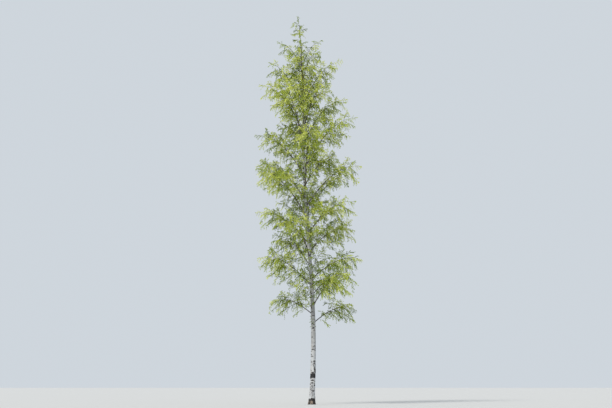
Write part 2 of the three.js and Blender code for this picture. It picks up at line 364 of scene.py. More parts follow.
def twigPlan(stem, number, share, outward, length):
    return {
        "number": number, "root": stem["curve"](share), "outward": outward,
        "side": unit(np.cross(outward, upward)), "fullLength": length,
    }


def shootOf(curve, side, length, roll, bladeFrom, scale):  # what bears leaves: a curve with its blade
    shoot = {"curve": curve, "side": side, "length": length}
    return shoot | {"roll": roll, "bladeFrom": bladeFrom, "scale": scale}


def planTwig(limb, number, count):
    along = (number + 0.5) / count
    share = mix(limb["massStart"], 1, mix(twig["firstShare"], twig["lastShare"], along))
    turn = number * goldenAngle + fullTurn * chance(limb["index"], 7)
    spread = math.radians(twig["spread"] + twig["spreadScatter"] * scatter(limb["index"], number, 8))
    length = twig["length"] * mix(1, twig["tipShortening"], along)
    length *= mix(twig["smallest"], 1, limb["vigour"])
    length *= 1 + twig["lengthScatter"] * scatter(limb["index"], number, 9)
    return twigPlan(limb, number, share, leaning(limb, share, turn, spread), length)


def spraySize(limb, *keys):
    return leastSpray(limb["vigour"]) * (1 + spray["sizeScatter"] * scatter(limb["index"], *keys, 12))


def twigWithSpray(limb, plan, size):
    length = plan["fullLength"] * size
    scale = spraySize(limb, plan["number"], 0)
    root, reach = plan["root"], plan["outward"] * length
    curve = bezier([root, root + reach / 2, root + reach - upward * twig["droop"] * length])
    roll = math.pi * chance(limb["index"], plan["number"], 10)
    bladeFrom = max(1 - spray["length"] * scale / length, twig["bareLeast"])
    return shootOf(curve, plan["side"], length, roll, bladeFrom, scale)


def looseSpray(place, along, side, roll, scale, sunk):
    root = place - along * sunk
    length = spray["length"] * scale
    return shootOf(bezier([root, root + along * spray["length"] * scale]), side, length, roll, 0.0, scale)


def sideSprays(limb, plan, grown):
    places = spray["places"][1:] if grown["length"] < spray["shortTwig"] else spray["places"]
    found = []
    for turn, share in enumerate(places):
        hand = 1 if (turn + plan["number"]) % 2 else -1
        lean = math.radians(spray["spread"]) * hand
        along = tangentOf(grown["curve"], share) * math.cos(lean) + plan["side"] * math.sin(lean)
        along = unit(along - upward * spray["droop"])
        scale = spraySize(limb, plan["number"], turn + 1)
        side = unit(np.cross(along, upward))
        roll = math.pi * chance(limb["index"], plan["number"], turn + 1, 11)
        found.append(looseSpray(grown["curve"](share), along, side, roll, scale, spray["sunk"]))
    return found


def bladePoints(piece):
    points = []
    widest = spray["widestShare"]
    for share in room["bladeShares"]:
        place = mix(piece["bladeFrom"], 1, share)
        narrowing = share / widest if share < widest else (1 - share) / (1 - widest)
        along = tangentOf(piece["curve"], place)
        across = turned(unit(piece["side"] - along * piece["side"].dot(along)), along, piece["roll"])
        for hand in room["bladeHands"] if share < 1 else [0]:
            aside = across * hand * narrowing * spray["width"] * piece["scale"] / 2
            points.append(piece["curve"](place) + aside)
    return np.array(points)


def growMass(limb):
    stretch = limb["length"] * (1 - limb["massStart"])
    count = max(twig["fewest"], math.floor(stretch / twig["spacing"] + 0.5))
    twigs, sprays, taken = [], [], []

    def fits(piece):
        points = bladePoints(piece)
        for other in taken:
            gaps = np.linalg.norm(points[:, None, :] - other[None, :, :], axis=-1)
            if (gaps <= room["betweenSprays"]).any():
                return False
        return hasRoom(limb, points, room["sprayToLimb"])

    along = unit(tangentOf(limb["curve"], 1.0) - upward * spray["droop"] / 2)
    tip = looseSpray(
        limb["curve"](1.0), along, limb["side"], math.pi * chance(limb["index"], 13),
        leastSpray(limb["vigour"]), spray["tipSunk"],
    )
    taken.append(bladePoints(tip))
    sprays.append(tip)
    for number in range(count):
        plan = planTwig(limb, number, count)
        for size in twig["tries"]:
            piece = twigWithSpray(limb, plan, size)
            if hasRoom(limb, piece["curve"](room["twigShares"]), room["twigToLimb"]) and fits(piece):
                taken.append(bladePoints(piece))
                twigs.append(piece)
                roomy = [side for side in sideSprays(limb, plan, piece) if fits(side)]
                taken.extend(bladePoints(side) for side in roomy)
                sprays.extend(roomy)
                break
    return {"limb": limb, "count": count, "twigs": twigs, "sprays": sprays}


masses = [growMass(limb) for limb in limbs]


# Thin limbs straight from the stem, where the crown is most open

thin = {
    "count": 46,
    "tries": 10,  # places that each is tried in
    "heights": (4.9, 19.0),
    "reach": 0.74,  # of the main limbs' reach at that height
    "reachScatter": (0.7, 1.15),
    "leastFullness": 0.2,
    "rise": (36, 60),
    "riseScatter": 12,
    "rootLift": 0.25,
    "rootHold": 0.35,
    "tipDroop": 0.6,
    "tipHold": 0.32,
    "sideBend": 0.3,
    "girth": 0.009,
    "bladeFrom": 0.55,
    "bladeScale": 0.7,
    "probes": np.array([0.45, 0.7, 0.95]),  # shares of the limb that have to stand clear
    "kept": np.linspace(0.3, 1, 6),  # shares that the next ones keep clear of
    "twigsFrom": 0.1,
    "twigSpacing": 0.18,
    "twigLength": 0.66,
    "collarPlaces": np.array([-0.03, -0.010, 0.010, 0.030, 0.055, 0.065]),  # along it from the bark
    "collarGirths": np.array([0, 2.5, 2.0, 1.35, 0.95, 0]),  # against the limb's own
    "collarSides": 8,
}


def girthOf(thickest, length):
    return thickest * np.clip(length / wood["shootLength"], *wood["shootGirths"])


def planThin(number, attempt):  # a thin limb within the crown's outline, at one of many likely places
    order = (number + chance(90, number, attempt, 1)) / thin["count"]
    height = mix(*thin["heights"], order)
    bearing = fullTurn * chance(90, number, attempt, 2)
    rise = math.radians(mix(*thin["rise"], order) + thin["riseScatter"] * scatter(90, number, 3))
    place = (height - crown["firstHeight"]) / (crown["lastHeight"] - crown["firstHeight"])
    reach = crown["reach"] * max(fullness(place), thin["leastFullness"]) * thin["reach"]
    reach *= within(thin["reachScatter"], 90, number, 4)
    limb = limbLine(height, bearing, rise, reach, scatter(90, number, 5), thin)
    return limb | {
        "roll": math.pi * chance(90, number, 6), "bladeFrom": thin["bladeFrom"], "scale": thin["bladeScale"],
        "girth": girthOf(thin["girth"], limb["length"]),
    }


def placeThinLimbs():
    taken = np.concatenate([line[0] for line in massLines])
    chosen = []
    for number in range(thin["count"]):
        widest = 0.0
        for attempt in range(thin["tries"]):
            likely = planThin(number, attempt)
            points = likely["curve"](thin["probes"])
            gap = np.linalg.norm(points[:, None] - taken[None], axis=-1).min(axis=1).mean()
            if gap > widest:
                widest, stem = gap, likely
        taken = np.concatenate([taken, stem["curve"](thin["kept"])])
        chosen.append(stem)
    return chosen


thinLimbs = placeThinLimbs()
print("limbs", len(limbs), "main twigs", sum(len(mass["twigs"]) for mass in masses),
      "sprays", sum(len(mass["sprays"]) for mass in masses))


# Meshes from arrays

def makePiece(name, points, corners, material, replaced=()):  # one row of corners for each face
    mesh = bpy.data.meshes.new(name)
    mesh.vertices.add(len(points))
    mesh.vertices.foreach_set("co", np.asarray(points, dtype=np.float32).ravel())
    mesh.loops.add(corners.size)
    mesh.loops.foreach_set("vertex_index", corners.astype(np.int32).ravel())
    mesh.polygons.add(len(corners))
    mesh.polygons.foreach_set("loop_start", np.arange(len(corners), dtype=np.int32) * corners.shape[1])
    mesh.polygons.foreach_set("use_smooth", np.ones(len(corners), dtype=bool))
    mesh.update(calc_edges=True)
    mesh.materials.append(material)
    piece = bpy.data.objects.new(name, mesh)
    bpy.context.collection.objects.link(piece)
    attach(piece, "root")
    if replaced:
        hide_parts(*replaced)
    print("made", name, len(corners), "triangles")
    return piece


def addMarks(piece, name, values):  # one number for each vertex, which the material reads
    layer = piece.data.attributes.new(name, "FLOAT", "POINT")
    layer.data.foreach_set("value", np.asarray(values, dtype=np.float32))


def tubes(middles, radii, side, sides):  # shoots by stations; the first and last station are points
    count, stations = radii.shape
    along = unit(np.gradient(middles, axis=1))
    across = unit(side[:, None, :] - along * (side[:, None, :] * along).sum(-1, keepdims=True))
    over = np.cross(along, across)
    angle = np.arange(sides) * 2 * math.pi / sides
    spokes = across[:, :, None, :] * np.cos(angle)[:, None] + over[:, :, None, :] * np.sin(angle)[:, None]
    rings = (middles[:, :, None, :] + spokes * radii[:, :, None, None])[:, 1:-1]
    rings = rings.reshape(count, (stations - 2) * sides, 3)
    points = np.concatenate([middles[:, :1], rings, middles[:, -1:]], axis=1)
    here = np.arange(sides)
    ahead = (here + 1) % sides
    faces = [np.stack([np.zeros(sides, int), 1 + ahead, 1 + here], axis=1)]
    for ring in range(stations - 3):
        low = 1 + ring * sides
        faces.append(np.stack([low + here, low + ahead, low + sides + ahead], axis=1))
        faces.append(np.stack([low + here, low + sides + ahead, low + sides + here], axis=1))
    low = 1 + (stations - 3) * sides
    faces.append(np.stack([low + here, low + ahead, np.full(sides, low + sides)], axis=1))
    corners = np.concatenate(faces)
    corners = corners[None] + (np.arange(count) * points.shape[1])[:, None, None]
    return points.reshape(-1, 3), corners.reshape(-1, 3)


def joined(parts):  # several arrays of points and faces as one
    points, corners, start = [], [], 0
    for some, faces in parts:
        points.append(some)
        corners.append(faces + start)
        start += len(some)
    return np.concatenate(points), np.concatenate(corners)


# Materials

def newMaterial(name, color, roughness, specular=0.5):
    material = bpy.data.materials.new(name)
    material.use_nodes = True
    shader = material.node_tree.nodes["Principled BSDF"]
    shader.inputs["Base Color"].default_value = (*color, 1)
    shader.inputs["Roughness"].default_value = roughness
    shader.inputs["Specular IOR Level"].default_value = specular
    material.diffuse_color = (*color, 1)
    return material, material.node_tree, shader


def setInput(tree, socket, value):
    if isinstance(value, bpy.types.NodeSocket):
        tree.links.new(value, socket)
    elif isinstance(value, tuple) and socket.type == "RGBA":
        socket.default_value = (*value, 1)
    else:
        socket.default_value = value


def noiseAt(tree, vector, detail, distortion=0.0):
    noise = tree.nodes.new("ShaderNodeTexNoise")
    noise.inputs["Scale"].default_value = 1
    noise.inputs["Detail"].default_value = detail
    noise.inputs["Distortion"].default_value = distortion
    tree.links.new(vector, noise.inputs["Vector"])
    return noise.outputs["Fac"]


def noiseOf(tree, stretch, detail=3, distortion=0.0):  # noise of the piece's own place
    place = tree.nodes.new("ShaderNodeTexCoord")
    mapping = tree.nodes.new("ShaderNodeMapping")
    mapping.inputs["Scale"].default_value = stretch
    tree.links.new(place.outputs["Object"], mapping.inputs["Vector"])
    return noiseAt(tree, mapping.outputs["Vector"], detail, distortion)


def attributeOf(tree, name):
    node = tree.nodes.new("ShaderNodeAttribute")
    node.attribute_name = name
    return node.outputs["Fac"]


def calculated(tree, operation, *values, kind="ShaderNodeMath"):
    node = tree.nodes.new(kind)
    node.operation = operation
    for socket, value in zip(node.inputs, values):
        setInput(tree, socket, value)
    return node.outputs[0]


def scaled(tree, value, amount):
    return calculated(tree, "MULTIPLY", value, amount)


def added(tree, first, second):
    return calculated(tree, "ADD", first, second)


def stepped(tree, value, low, high):  # 0 below low, 1 above high
    node = tree.nodes.new("ShaderNodeMapRange")
    node.interpolation_type = "SMOOTHSTEP"
    node.inputs["From Min"].default_value = low
    node.inputs["From Max"].default_value = high
    tree.links.new(value, node.inputs["Value"])
    return node.outputs["Result"]


def blended(tree, amount, first, second):
    node = tree.nodes.new("ShaderNodeMix")
    node.data_type = "RGBA"
    setInput(tree, node.inputs["Factor"], amount)
    colors = [socket for socket in node.inputs if socket.type == "RGBA"]
    setInput(tree, colors[0], first)
    setInput(tree, colors[1], second)
    return next(socket for socket in node.outputs if socket.type == "RGBA")


def layered(tree, base, *layers):  # colours over a base: each with its value, amount and step
    for color, value, amount, *step in layers:
        value = stepped(tree, value, *step) if step else value
        base = blended(tree, scaled(tree, value, amount) if amount < 1 else value, base, color)
    return base


def bumped(tree, shader, height, distance, strength):
    node = tree.nodes.new("ShaderNodeBump")
    node.inputs["Distance"].default_value = distance
    node.inputs["Strength"].default_value = strength
    tree.links.new(height, node.inputs["Height"])
    tree.links.new(node.outputs["Normal"], shader.inputs["Normal"])


# Trunk: pale bark with black lenses, arches under the limbs, a dark band and a cracked foot

bark = {
    "sides": 192,  # round the foot, with half as many above it, and half again above fineTop
    "footStep": 0.0075,
    "footMesh": 0.44,  # the finest mesh ends here
    "fineTop": 5.0,
    "fineStep": 0.0122,
    "coarseStep": 0.014,  # just above fineTop
    "topStep": 0.06,
    "stripTops": [2.2, 4.6, 8.4, 13.2],  # the trunk is unwrapped in strips between these heights
    "stripPlace": (0.03, 0.94, 0.02, 0.93),  # of a strip's own width and of the map's height
    "capPlaces": [[0.001, 0.985], [0.004, 0.985], [0.002, 0.99]],  # of a cap's corners on the map
    "boldness": 1.1,  # of the marks' height
    "softness": 0.018,  # how far past a mark's edge its value runs out
    "sunk": (0.45, 0.85),  # strength of a mark where its hollow starts and is at its deepest
    "markReach": (1.2, 0.06),  # where a mark is looked for: of its half height, and past that
    "lineSunk": 0.6,
    "markDepth": 0.0045,
    "depthByGirth": (0.4, 0.24),  # share of it on the thinnest stem, and the radius that adds it whole
    "limbSwell": 0.42,  # of a limb's girth, where it leaves the stem
    "limbSwellSize": (1.25, 1.9),
    "limbSwellPlace": 0.03,  # share of the limb where its girth is taken
    "aged": (14.5, 19.2),  # between these heights the bark turns brown
    "dull": (2.1, 3.5, 4.9, 6.6),  # and between these it is greyer
    "dullLeast": 0.6,
}

barkNoise = {  # amount, grain, salt and stretch of all the unevenness in the trunk's mesh
    "warp": (0.022, 14, 71, (1, 1, 1)),
    "fineWarp": (0.012, 38, 72, (1, 1, 1)),
    "turn": (0.16, 11, 73, (1, 1, 1)),
    "swell": (0.005, 5, 21, (1, 1, 1)),
    "fineSwell": (0.0025, 12, 22, (1, 1, 1)),
    "dull": (1, 10, 63, (1, 1, 0.3)),
    "bandEdge": (0.060, 16, 5, (1, 1, 0.3)),
    "bandLayers": (2, 44, 15, (0.4, 0.4, 1)),
    "bandCracks": (2, 30, 11, (1, 1, 0.38)),
    "bandGrain": (0.008, 75, 16, (0.6, 0.6, 1)),
    "footEdge": (0.12, 13, 2, (1, 1, 0.15)),
    "footTeeth": (0.09, 42, 3, (1, 1, 0.25)),
    "footGrain": (0.008, 75, 19, (1, 1, 0.35)),
    "footFlakes": (1, 17, 14, (1, 1, 0.7)),
    "plateSideways": (0.9, 24, 17, (1, 1, 1)),
    "plateUpwards": (0.8, 20, 18, (1, 1, 1)),
    "slabEdge": (0.16, 30, 62, (1, 1, 0.5)),
    "slabShade": (1, 26, 61, (1, 1, 0.25)),
}

# Marks on the front in mm: height, place to the right of the middle, half width, half height, and its fall
frontMarks = {
    "lens": [
        (420, 0, 30, 16), (480, 34, 42, 14), (500, -150, 28, 12), (690, -80, 32, 12),
        (990, 122, 40, 36), (1030, -142, 44, 20), (1070, 104, 50, 16), (1110, -12, 52, 33),
        (1115, -78, 52, 30), (1245, -24, 82, 34), (1750, -105, 36, 12), (1820, -140, 18, 12),
        (2120, 28, 40, 18), (2120, 128, 13, 80), (2130, 78, 14, 85), (2200, -116, 56, 27),
        (2235, 50, 60, 36), (2860, -34, 66, 26), (3080, -150, 18, 12), (3280, 135, 22, 18),
        (3430, 33, 22, 13), (3510, -66, 64, 18), (3760, -135, 18, 14), (4000, -30, 44, 20),
        (4020, 18, 32, 36),
    ],
    "line": [
        (530, 150, 50, 11, 0), (600, -18, 72, 12, 0), (780, -92, 30, 20, 30), (795, -36, 34, 21, 34),
        (900, -110, 26, 19, 30), (925, -28, 56, 24, 62), (985, -2, 50, 20, 66), (1243, -24, 125, 14, 12),
        (2500, -60, 74, 15, 0), (3220, 70, 34, 9, 0), (3970, -15, 100, 10, 0),
    ],
    "arch": [
        (2250, 105, 105, 28, 30), (2865, -34, 112, 14, 18), (3050, 73, 105, 22, 62), (3885, 75, 70, 20, 36),
        (4225, -45, 108, 24, 75), (4660, 10, 110, 18, 45), (4860, -55, 70, 18, 40),
    ],
    "eye": [(705, 52, 105, 36), (1655, -5, 110, 36)],
}

seeded = {  # the rest of the marks, all round and up to the top
    "count": 240,
    "heights": (0.42, 18.6),
    "crowding": 1.15,  # over 1 for more of them low down
    "sparedTop": 5.0,  # the front has its own marks up to here
    "sparedTurn": 1.0,
    "kinds": [("lens", 0.50), ("line", 0.66), ("arch", 0.95), ("eye", 1)],
    "widths": (0.22, 0.95),  # of the stem's radius
    "thicknesses": (0.011, 0.032),
    "smallness": 1.4,  # over 1 for more small ones
    "slimming": (0.3, 5.5),  # share of the thickness left at the top, and its growth with the radius
    "thinnest": 0.006,
    "thicker": 0.0017,  # for each metre of height, as the mesh is coarser there
    "lineFall": 0.03,
    "archFalls": (0.2, 0.6),
    "archThick": 0.8,
    "eyeThick": 1.5,
}

limbArch = {  # over each limb, in girths of the limb
    "width": 3.0,
    "widest": 1.9,  # of the stem's radius
    "lift": 1.7,
    "thick": 0.32,
    "leastThick": 0.012,
    "fall": 1.1,  # of the arch's width
    "thinLimb": 1.5,  # as a thin limb has a collar
}


def seededMarks():
    made = []
    for number in range(seeded["count"]):
        order = ((number + chance(number, 41)) / seeded["count"]) ** seeded["crowding"]
        height = mix(*seeded["heights"], order)
        radius = float(stemRadius(height))
        spared = seeded["sparedTurn"] if height < seeded["sparedTop"] else 0.0
        angle = spared + (fullTurn - 2 * spared) * chance(number, 42)
        width = radius * mix(*seeded["widths"], chance(number, 43) ** seeded["smallness"])
        thick = mix(*seeded["thicknesses"], chance(number, 44) ** seeded["smallness"])
        thick *= min(1, seeded["slimming"][0] + radius * seeded["slimming"][1])
        pick = chance(number, 45)
        kind = next(name for name, limit in seeded["kinds"] if pick < limit)
        fall = 0.0
        if kind == "line":
            fall = seeded["lineFall"] * scatter(number, 46)
        elif kind == "arch":
            fall = within(seeded["archFalls"], number, 47) * width
            thick *= seeded["archThick"]
        elif kind == "eye":
            thick *= seeded["eyeThick"]
        thick = max(thick, seeded["thinnest"] + seeded["thicker"] * height)
        made.append((kind, height, angle * radius, width, thick, fall))
    return made


def crossingHeight(limb, radius):  # where a limb comes out of the bark
    along = tangentOf(limb["curve"], 0.0)
    return limb["height"] + radius * along[2] / math.hypot(along[0], along[1])


def limbMarks():  # an arch over each limb, where its bark folds against the stem's
    made = []
    for limb in limbs[:-1] + thinLimbs:
        radius = float(stemRadius(limb["height"]))
        if "girth" in limb:
            girth = limbArch["thinLimb"] * limb["girth"]
        else:
            girth = float(limb["radiusAt"](radius / limb["length"]))
        width = min(limbArch["width"] * girth, limbArch["widest"] * radius)
        height = crossingHeight(limb, radius) + limbArch["lift"] * girth
        thick = limbArch["thick"] * girth + limbArch["leastThick"]
        place = (limb["bearing"] + math.pi / 2) * radius
        made.append(("arch", height, place, width, thick, limbArch["fall"] * width))
    return made


def allMarks():
    front = [
        (kind, *(size / 1000 for size in sizes), *[0.0] * (5 - len(sizes)))
        for kind, rows in frontMarks.items() for sizes in rows
    ]
    return front + seededMarks() + limbMarks()


markShape = {  # in half widths and half heights of a mark
    "archBend": 1.65,
    "archThick": (0.42, 1),  # at its ends and in the middle
    "lineTaper": 0.35,
    "lensThick": (0.55, 1),
    "lidLift": 0.35,
    "lidThick": (0.21, 0.42),
    "pupilDrop": 0.2,
    "pupil": (0.34, 0.75),
    "pupilEdge": 0.30,
    "rim": (0.72, 0.95),
    "rimThick": 0.008,
    "rimEnd": 0.5,  # it stops short on the right
    "outside": 0.5,  # how fast a mark fades above and below, past its ends
}


def markStrength(mark, around, height, radius):  # over a half inside a mark, under a half outside it
    kind, level, place, halfWidth, halfHeight, fall = mark
    halfHeight = bark["boldness"] * halfHeight
    across = nearTurn(around - place / radius) * radius / halfWidth
    inside = np.clip(1 - np.abs(across), 0, 1)
    beyond = np.clip(np.abs(across) - 1, 0, None) * halfWidth
    up = height - level
    if kind == "arch":
        up = up + fall * np.abs(across) ** markShape["archBend"]
        thick = halfHeight * mix(*markShape["archThick"], inside)
    elif kind == "line":
        up = up + fall * across
        thick = halfHeight * inside ** markShape["lineTaper"]
    elif kind == "eye":
        up = up - markShape["lidLift"] * halfHeight * (1 - across**2)
        thick = halfHeight * mix(*markShape["lidThick"], inside)
    else:
        thick = halfHeight * np.sqrt(np.clip(1 - across**2, 0, 1)) * mix(*markShape["lensThick"], inside)
    depth = np.where(beyond > 0, -beyond - markShape["outside"] * np.abs(up), thick - np.abs(up))
    if kind == "eye":  # a pupil under the lid, with a thin rim below it
        below = (height - level + markShape["pupilDrop"] * halfHeight) / halfHeight
        wide, tall = markShape["pupil"]
        pupil = markShape["pupilEdge"] * halfWidth * (1 - np.hypot(across / wide, below / tall))
        wide, tall = markShape["rim"]
        rim = markShape["rimThick"] - halfHeight * np.abs(np.hypot(across / wide, below / tall) - 1)
        rim = np.where((below < 0) & (across < markShape["rimEnd"]), rim, -1)
        depth = np.maximum(depth, np.maximum(pupil, rim))
    return np.clip(0.5 + depth / (2 * bark["softness"]), 0, 1)


def trunkRings():  # heights and angles of every ring, in three zones that grow coarser upwards
    growth = bark["topStep"] / bark["coarseStep"]
    reach = trunk["top"] - bark["fineTop"]
    steps = round(reach * math.log(growth) / (bark["topStep"] - bark["coarseStep"]))
    parts = (growth ** np.linspace(0, 1, steps + 1) - 1) / (growth - 1)
    zones = [
        np.arange(0, bark["footMesh"], bark["footStep"]),
        np.arange(bark["footMesh"], bark["fineTop"], bark["fineStep"]),
        bark["fineTop"] + reach * parts[1:],
    ]
    heights, turns, corners = [], [], []
    start, sides = 0, bark["sides"]
    for number, levels in enumerate(zones):
        here, ahead = np.arange(sides), (np.arange(sides) + 1) % sides
        if number:  # the first ring of a zone has half the points of the ring below it
            below = start - 2 * sides
            left, middle, right = below + 2 * here, below + 2 * here + 1, below + 2 * ahead
            corners += [
                np.stack([left, middle, start + here], -1),
                np.stack([middle, start + ahead, start + here], -1),
                np.stack([middle, right, start + ahead], -1),
            ]
        row = start + np.arange(len(levels) - 1)[:, None] * sides
        corners.append(np.stack([row + here, row + ahead, row + sides + ahead], -1).reshape(-1, 3))
        corners.append(np.stack([row + here, row + sides + ahead, row + sides + here], -1).reshape(-1, 3))
        heights.append(np.repeat(levels, sides))
        turns.append(np.tile(here / sides, len(levels)))
        start += len(levels) * sides
        sides //= 2
    low, high = np.arange(bark["sides"]), here
    foots = np.stack([(low + 1) % bark["sides"], low, np.full(len(low), start)], -1)
    cap = start - len(high)
    tops = np.stack([cap + high, cap + ahead, np.full(len(high), start + 1)], -1)
    caps = np.concatenate([foots, tops])
    return np.concatenate(heights), np.concatenate(turns), np.concatenate(corners), caps


def uneven(at, name):  # at: every point of the trunk, as trunkPlaces gives them
    amount, grain, salt, stretch = barkNoise[name]
    return amount * (valueNoise(at["surface"] * stretch, grain, salt) - 0.5)


def trunkPlaces(height, turn):
    around = turn * fullTurn - math.pi  # 0 at the front, positive to the right, the seam at the back
    angle = around - math.pi / 2
    spoke = np.stack([np.cos(angle), np.sin(angle), np.zeros(len(angle))], axis=1)
    surface = stemMiddle(height) + spoke * stemRadius(height, angle)[:, None]
    at = {"height": height, "around": around, "angle": angle, "spoke": spoke, "surface": surface,
          "radius": stemRadius(height)}
    at["warped"] = height + uneven(at, "warp") + uneven(at, "fineWarp")
    at["turned"] = around + uneven(at, "turn")
    return at


def laidMarks(at):  # how dark and how deep all the marks make the bark
    mark, sunk = np.zeros(len(at["height"])), np.zeros(len(at["height"]))
    tall, past = bark["markReach"]
    for row in allMarks():
        kind, level, _, _, halfHeight, fall = row
        near = np.abs(at["height"] - level) < tall * halfHeight + abs(fall) + past
        strength = markStrength(row, at["turned"][near], at["warped"][near], at["radius"][near])
        mark[near] = np.maximum(mark[near], strength)
        deep = smooth(strength, *bark["sunk"]) * (bark["lineSunk"] if kind == "line" else 1.0)
        sunk[near] = np.maximum(sunk[near], deep)
    return mark, sunk


band = {
    "low": 1.375,
    "high": 1.60,
    "drops": [(0.05, -0.75, 0.3), (0.03, 1.9, 0.5)],  # of its lower edge: depth, place and width
    "fade": 0.012,
    "crackShare": 2.2,  # how much the upright cracks yield to the layers
    "cracks": (0.05, 0.42),
    "rise": 0.006,
    "crackDepth": 0.010,
}


def darkBand(at):  # where it is, and the cracks between its layers
    edge = uneven(at, "bandEdge")
    place = above(at["warped"], band["low"] + edge - humps(at["around"], band["drops"]), band["fade"])
    place = place * (1 - above(at["warped"], band["high"] - edge, band["fade"]))
    layers, upright = np.abs(uneven(at, "bandLayers")), np.abs(uneven(at, "bandCracks"))
    return place, 1 - smooth(np.minimum(layers, band["crackShare"] * upright), *band["cracks"])


foot = {
    "top": 0.30,
    "rises": [(0.07, 1.35, 0.3)],
    "fade": 0.016,
    "plateWidth": 0.034,  # of the rough bark
    "plateHeight": 0.080,
    "plateTop": 0.5,  # the plates above this height are stretched
    "roundness": 0.25,  # of the plates, 0 for diamonds
    "cracks": (0.03, 0.30),
    "flakes": [(1, -0.02, 0.42), (0.55, -0.95, 0.2)],  # where plates have fallen and left pale wood
    "flakeTop": 0.225,
    "flakeTopFade": (-0.01, 0.03),
    "flakeLow": (0.025, 0.055),
    "flakeWave": 0.09,
    "flakeSpread": (0.5, 0.45),  # how much the unevenness and the plates break the flakes up
    "flakeEdge": (0.40, 0.52),
    "flakeCracks": 0.75,
    "rise": 0.009,
    "flakeDepth": 0.005,
    "plateRise": 0.009,
    "crackDepth": 0.013,
}


def footPlates(at):  # cracks between rough plates, and each plate's own number
    columns = round(fullTurn * (trunk["radius"] + trunk["flare"]) / foot["plateWidth"])
    rows = 3 + round((foot["plateTop"] + 0.1) / foot["plateHeight"])
    table = np.random.default_rng(seed + 1).random((columns, rows, 3))
    across = at["around"] / fullTurn * columns + uneven(at, "plateSideways")
    up = 1 + np.clip(at["height"], 0, foot["plateTop"]) / foot["plateHeight"] + uneven(at, "plateUpwards")
    column, row = np.floor(across).astype(int), np.floor(up).astype(int)
    nearest = np.full(len(up), 9.0)
    second, tone = nearest.copy(), np.zeros(len(up))
    for sideways in (-1, 0, 1):
        for upwards in (-1, 0, 1):
            cell = table[(column + sideways) % columns, np.clip(row + upwards, 0, rows - 1)]
            beside = np.abs(column + sideways + cell[:, 0] - across)
            over = np.abs(row + upwards + cell[:, 1] - up)
            away = (1 - foot["roundness"]) * (beside + over) + foot["roundness"] * np.maximum(beside, over)
            closer = away < nearest
            second = np.where(closer, nearest, np.minimum(second, away))
            tone = np.where(closer, cell[:, 2], tone)
            nearest = np.where(closer, away, nearest)
    return 1 - smooth(second - nearest, *foot["cracks"]), tone


def crackedFoot(at):  # where it is, its cracks, the tone of its plates, and where it is pale
    edge = foot["top"] + uneven(at, "footEdge") + uneven(at, "footTeeth") + humps(at["around"], foot["rises"])
    place = 1 - above(at["height"], edge, foot["fade"])
    crack, tone = footPlates(at)
    wave = uneven(at, "footFlakes")
    flaked = humps(at["around"], foot["flakes"])
    shift = foot["flakeWave"] * wave
    flaked = flaked * smooth(foot["flakeTop"] + shift - at["height"], *foot["flakeTopFade"])
    flaked = flaked * smooth(at["height"] + shift, *foot["flakeLow"])
    byWave, byPlate = foot["flakeSpread"]
    pale = smooth(flaked + byWave * wave + byPlate * (0.5 - tone), *foot["flakeEdge"])
    pale = pale * (1 - foot["flakeCracks"] * crack)
    return place, crack, tone, pale


slab = {  # a loose slab of bark on the right, whose edge runs down and to the right
    "heights": [1.60, 1.68, 1.88, 1.91, 2.07, 2.08],
    "places": [0.120, 0.105, 0.045, 0.085, -0.035, -0.03],
    "radius": 0.15,  # of the stem there
    "start": (0, 0.06),
    "end": (1.5, 2.1),
    "low": (1.60, 1.64),
    "high": (2.16, 2.2),
    "edgeStart": (-0.11, 0.05),
    "edgeEnd": (0.12, 0.28),
    # the shade entries: painted shade behind the slab, a dark patch laid into the marks
    "shade": (-0.28, -0.10),
    "shadeEnd": (1.45, 1.70),
    "shadeHigh": (1.82, 1.91),
    "shadeStrength": 0.9,
    "rise": 0.009,
    "edgeDepth": 0.006,
}


def looseSlab(at):  # its face, its open edge and the painted shade behind it
    nowhere = math.inf
    place = np.interp(at["warped"], slab["heights"], slab["places"], left=nowhere, right=nowhere)
    place = place / slab["radius"]
    past = at["turned"] - place
    face = smooth(past, *slab["start"]) * (1 - smooth(at["turned"], *slab["end"]))
    face = face * smooth(at["height"], *slab["low"]) * (1 - smooth(at["height"], *slab["high"]))
    ragged = uneven(at, "slabEdge")
    edge = smooth(past, *slab["edgeStart"]) * (1 - smooth(past - ragged, *slab["edgeEnd"]))
    shade = face * smooth(uneven(at, "slabShade"), *slab["shade"])
    shade = shade * (1 - smooth(at["turned"], *slab["shadeEnd"]))
    shade = shade * (1 - smooth(at["height"], *slab["shadeHigh"]))
    return face, edge, slab["shadeStrength"] * shade


def limbSwells(at):
    wide, tall = bark["limbSwellSize"]
    total = 0
    for limb in limbs[:-1]:
        girth = float(limb["radiusAt"](bark["limbSwellPlace"]))
        away = nearTurn(at["angle"] - limb["bearing"])
        up = at["height"] - crossingHeight(limb, at["radius"])
        near = (away * at["radius"] / (wide * girth)) ** 2 + (up / (tall * girth)) ** 2
        total = total + bark["limbSwell"] * girth * np.exp(-near)
    return total


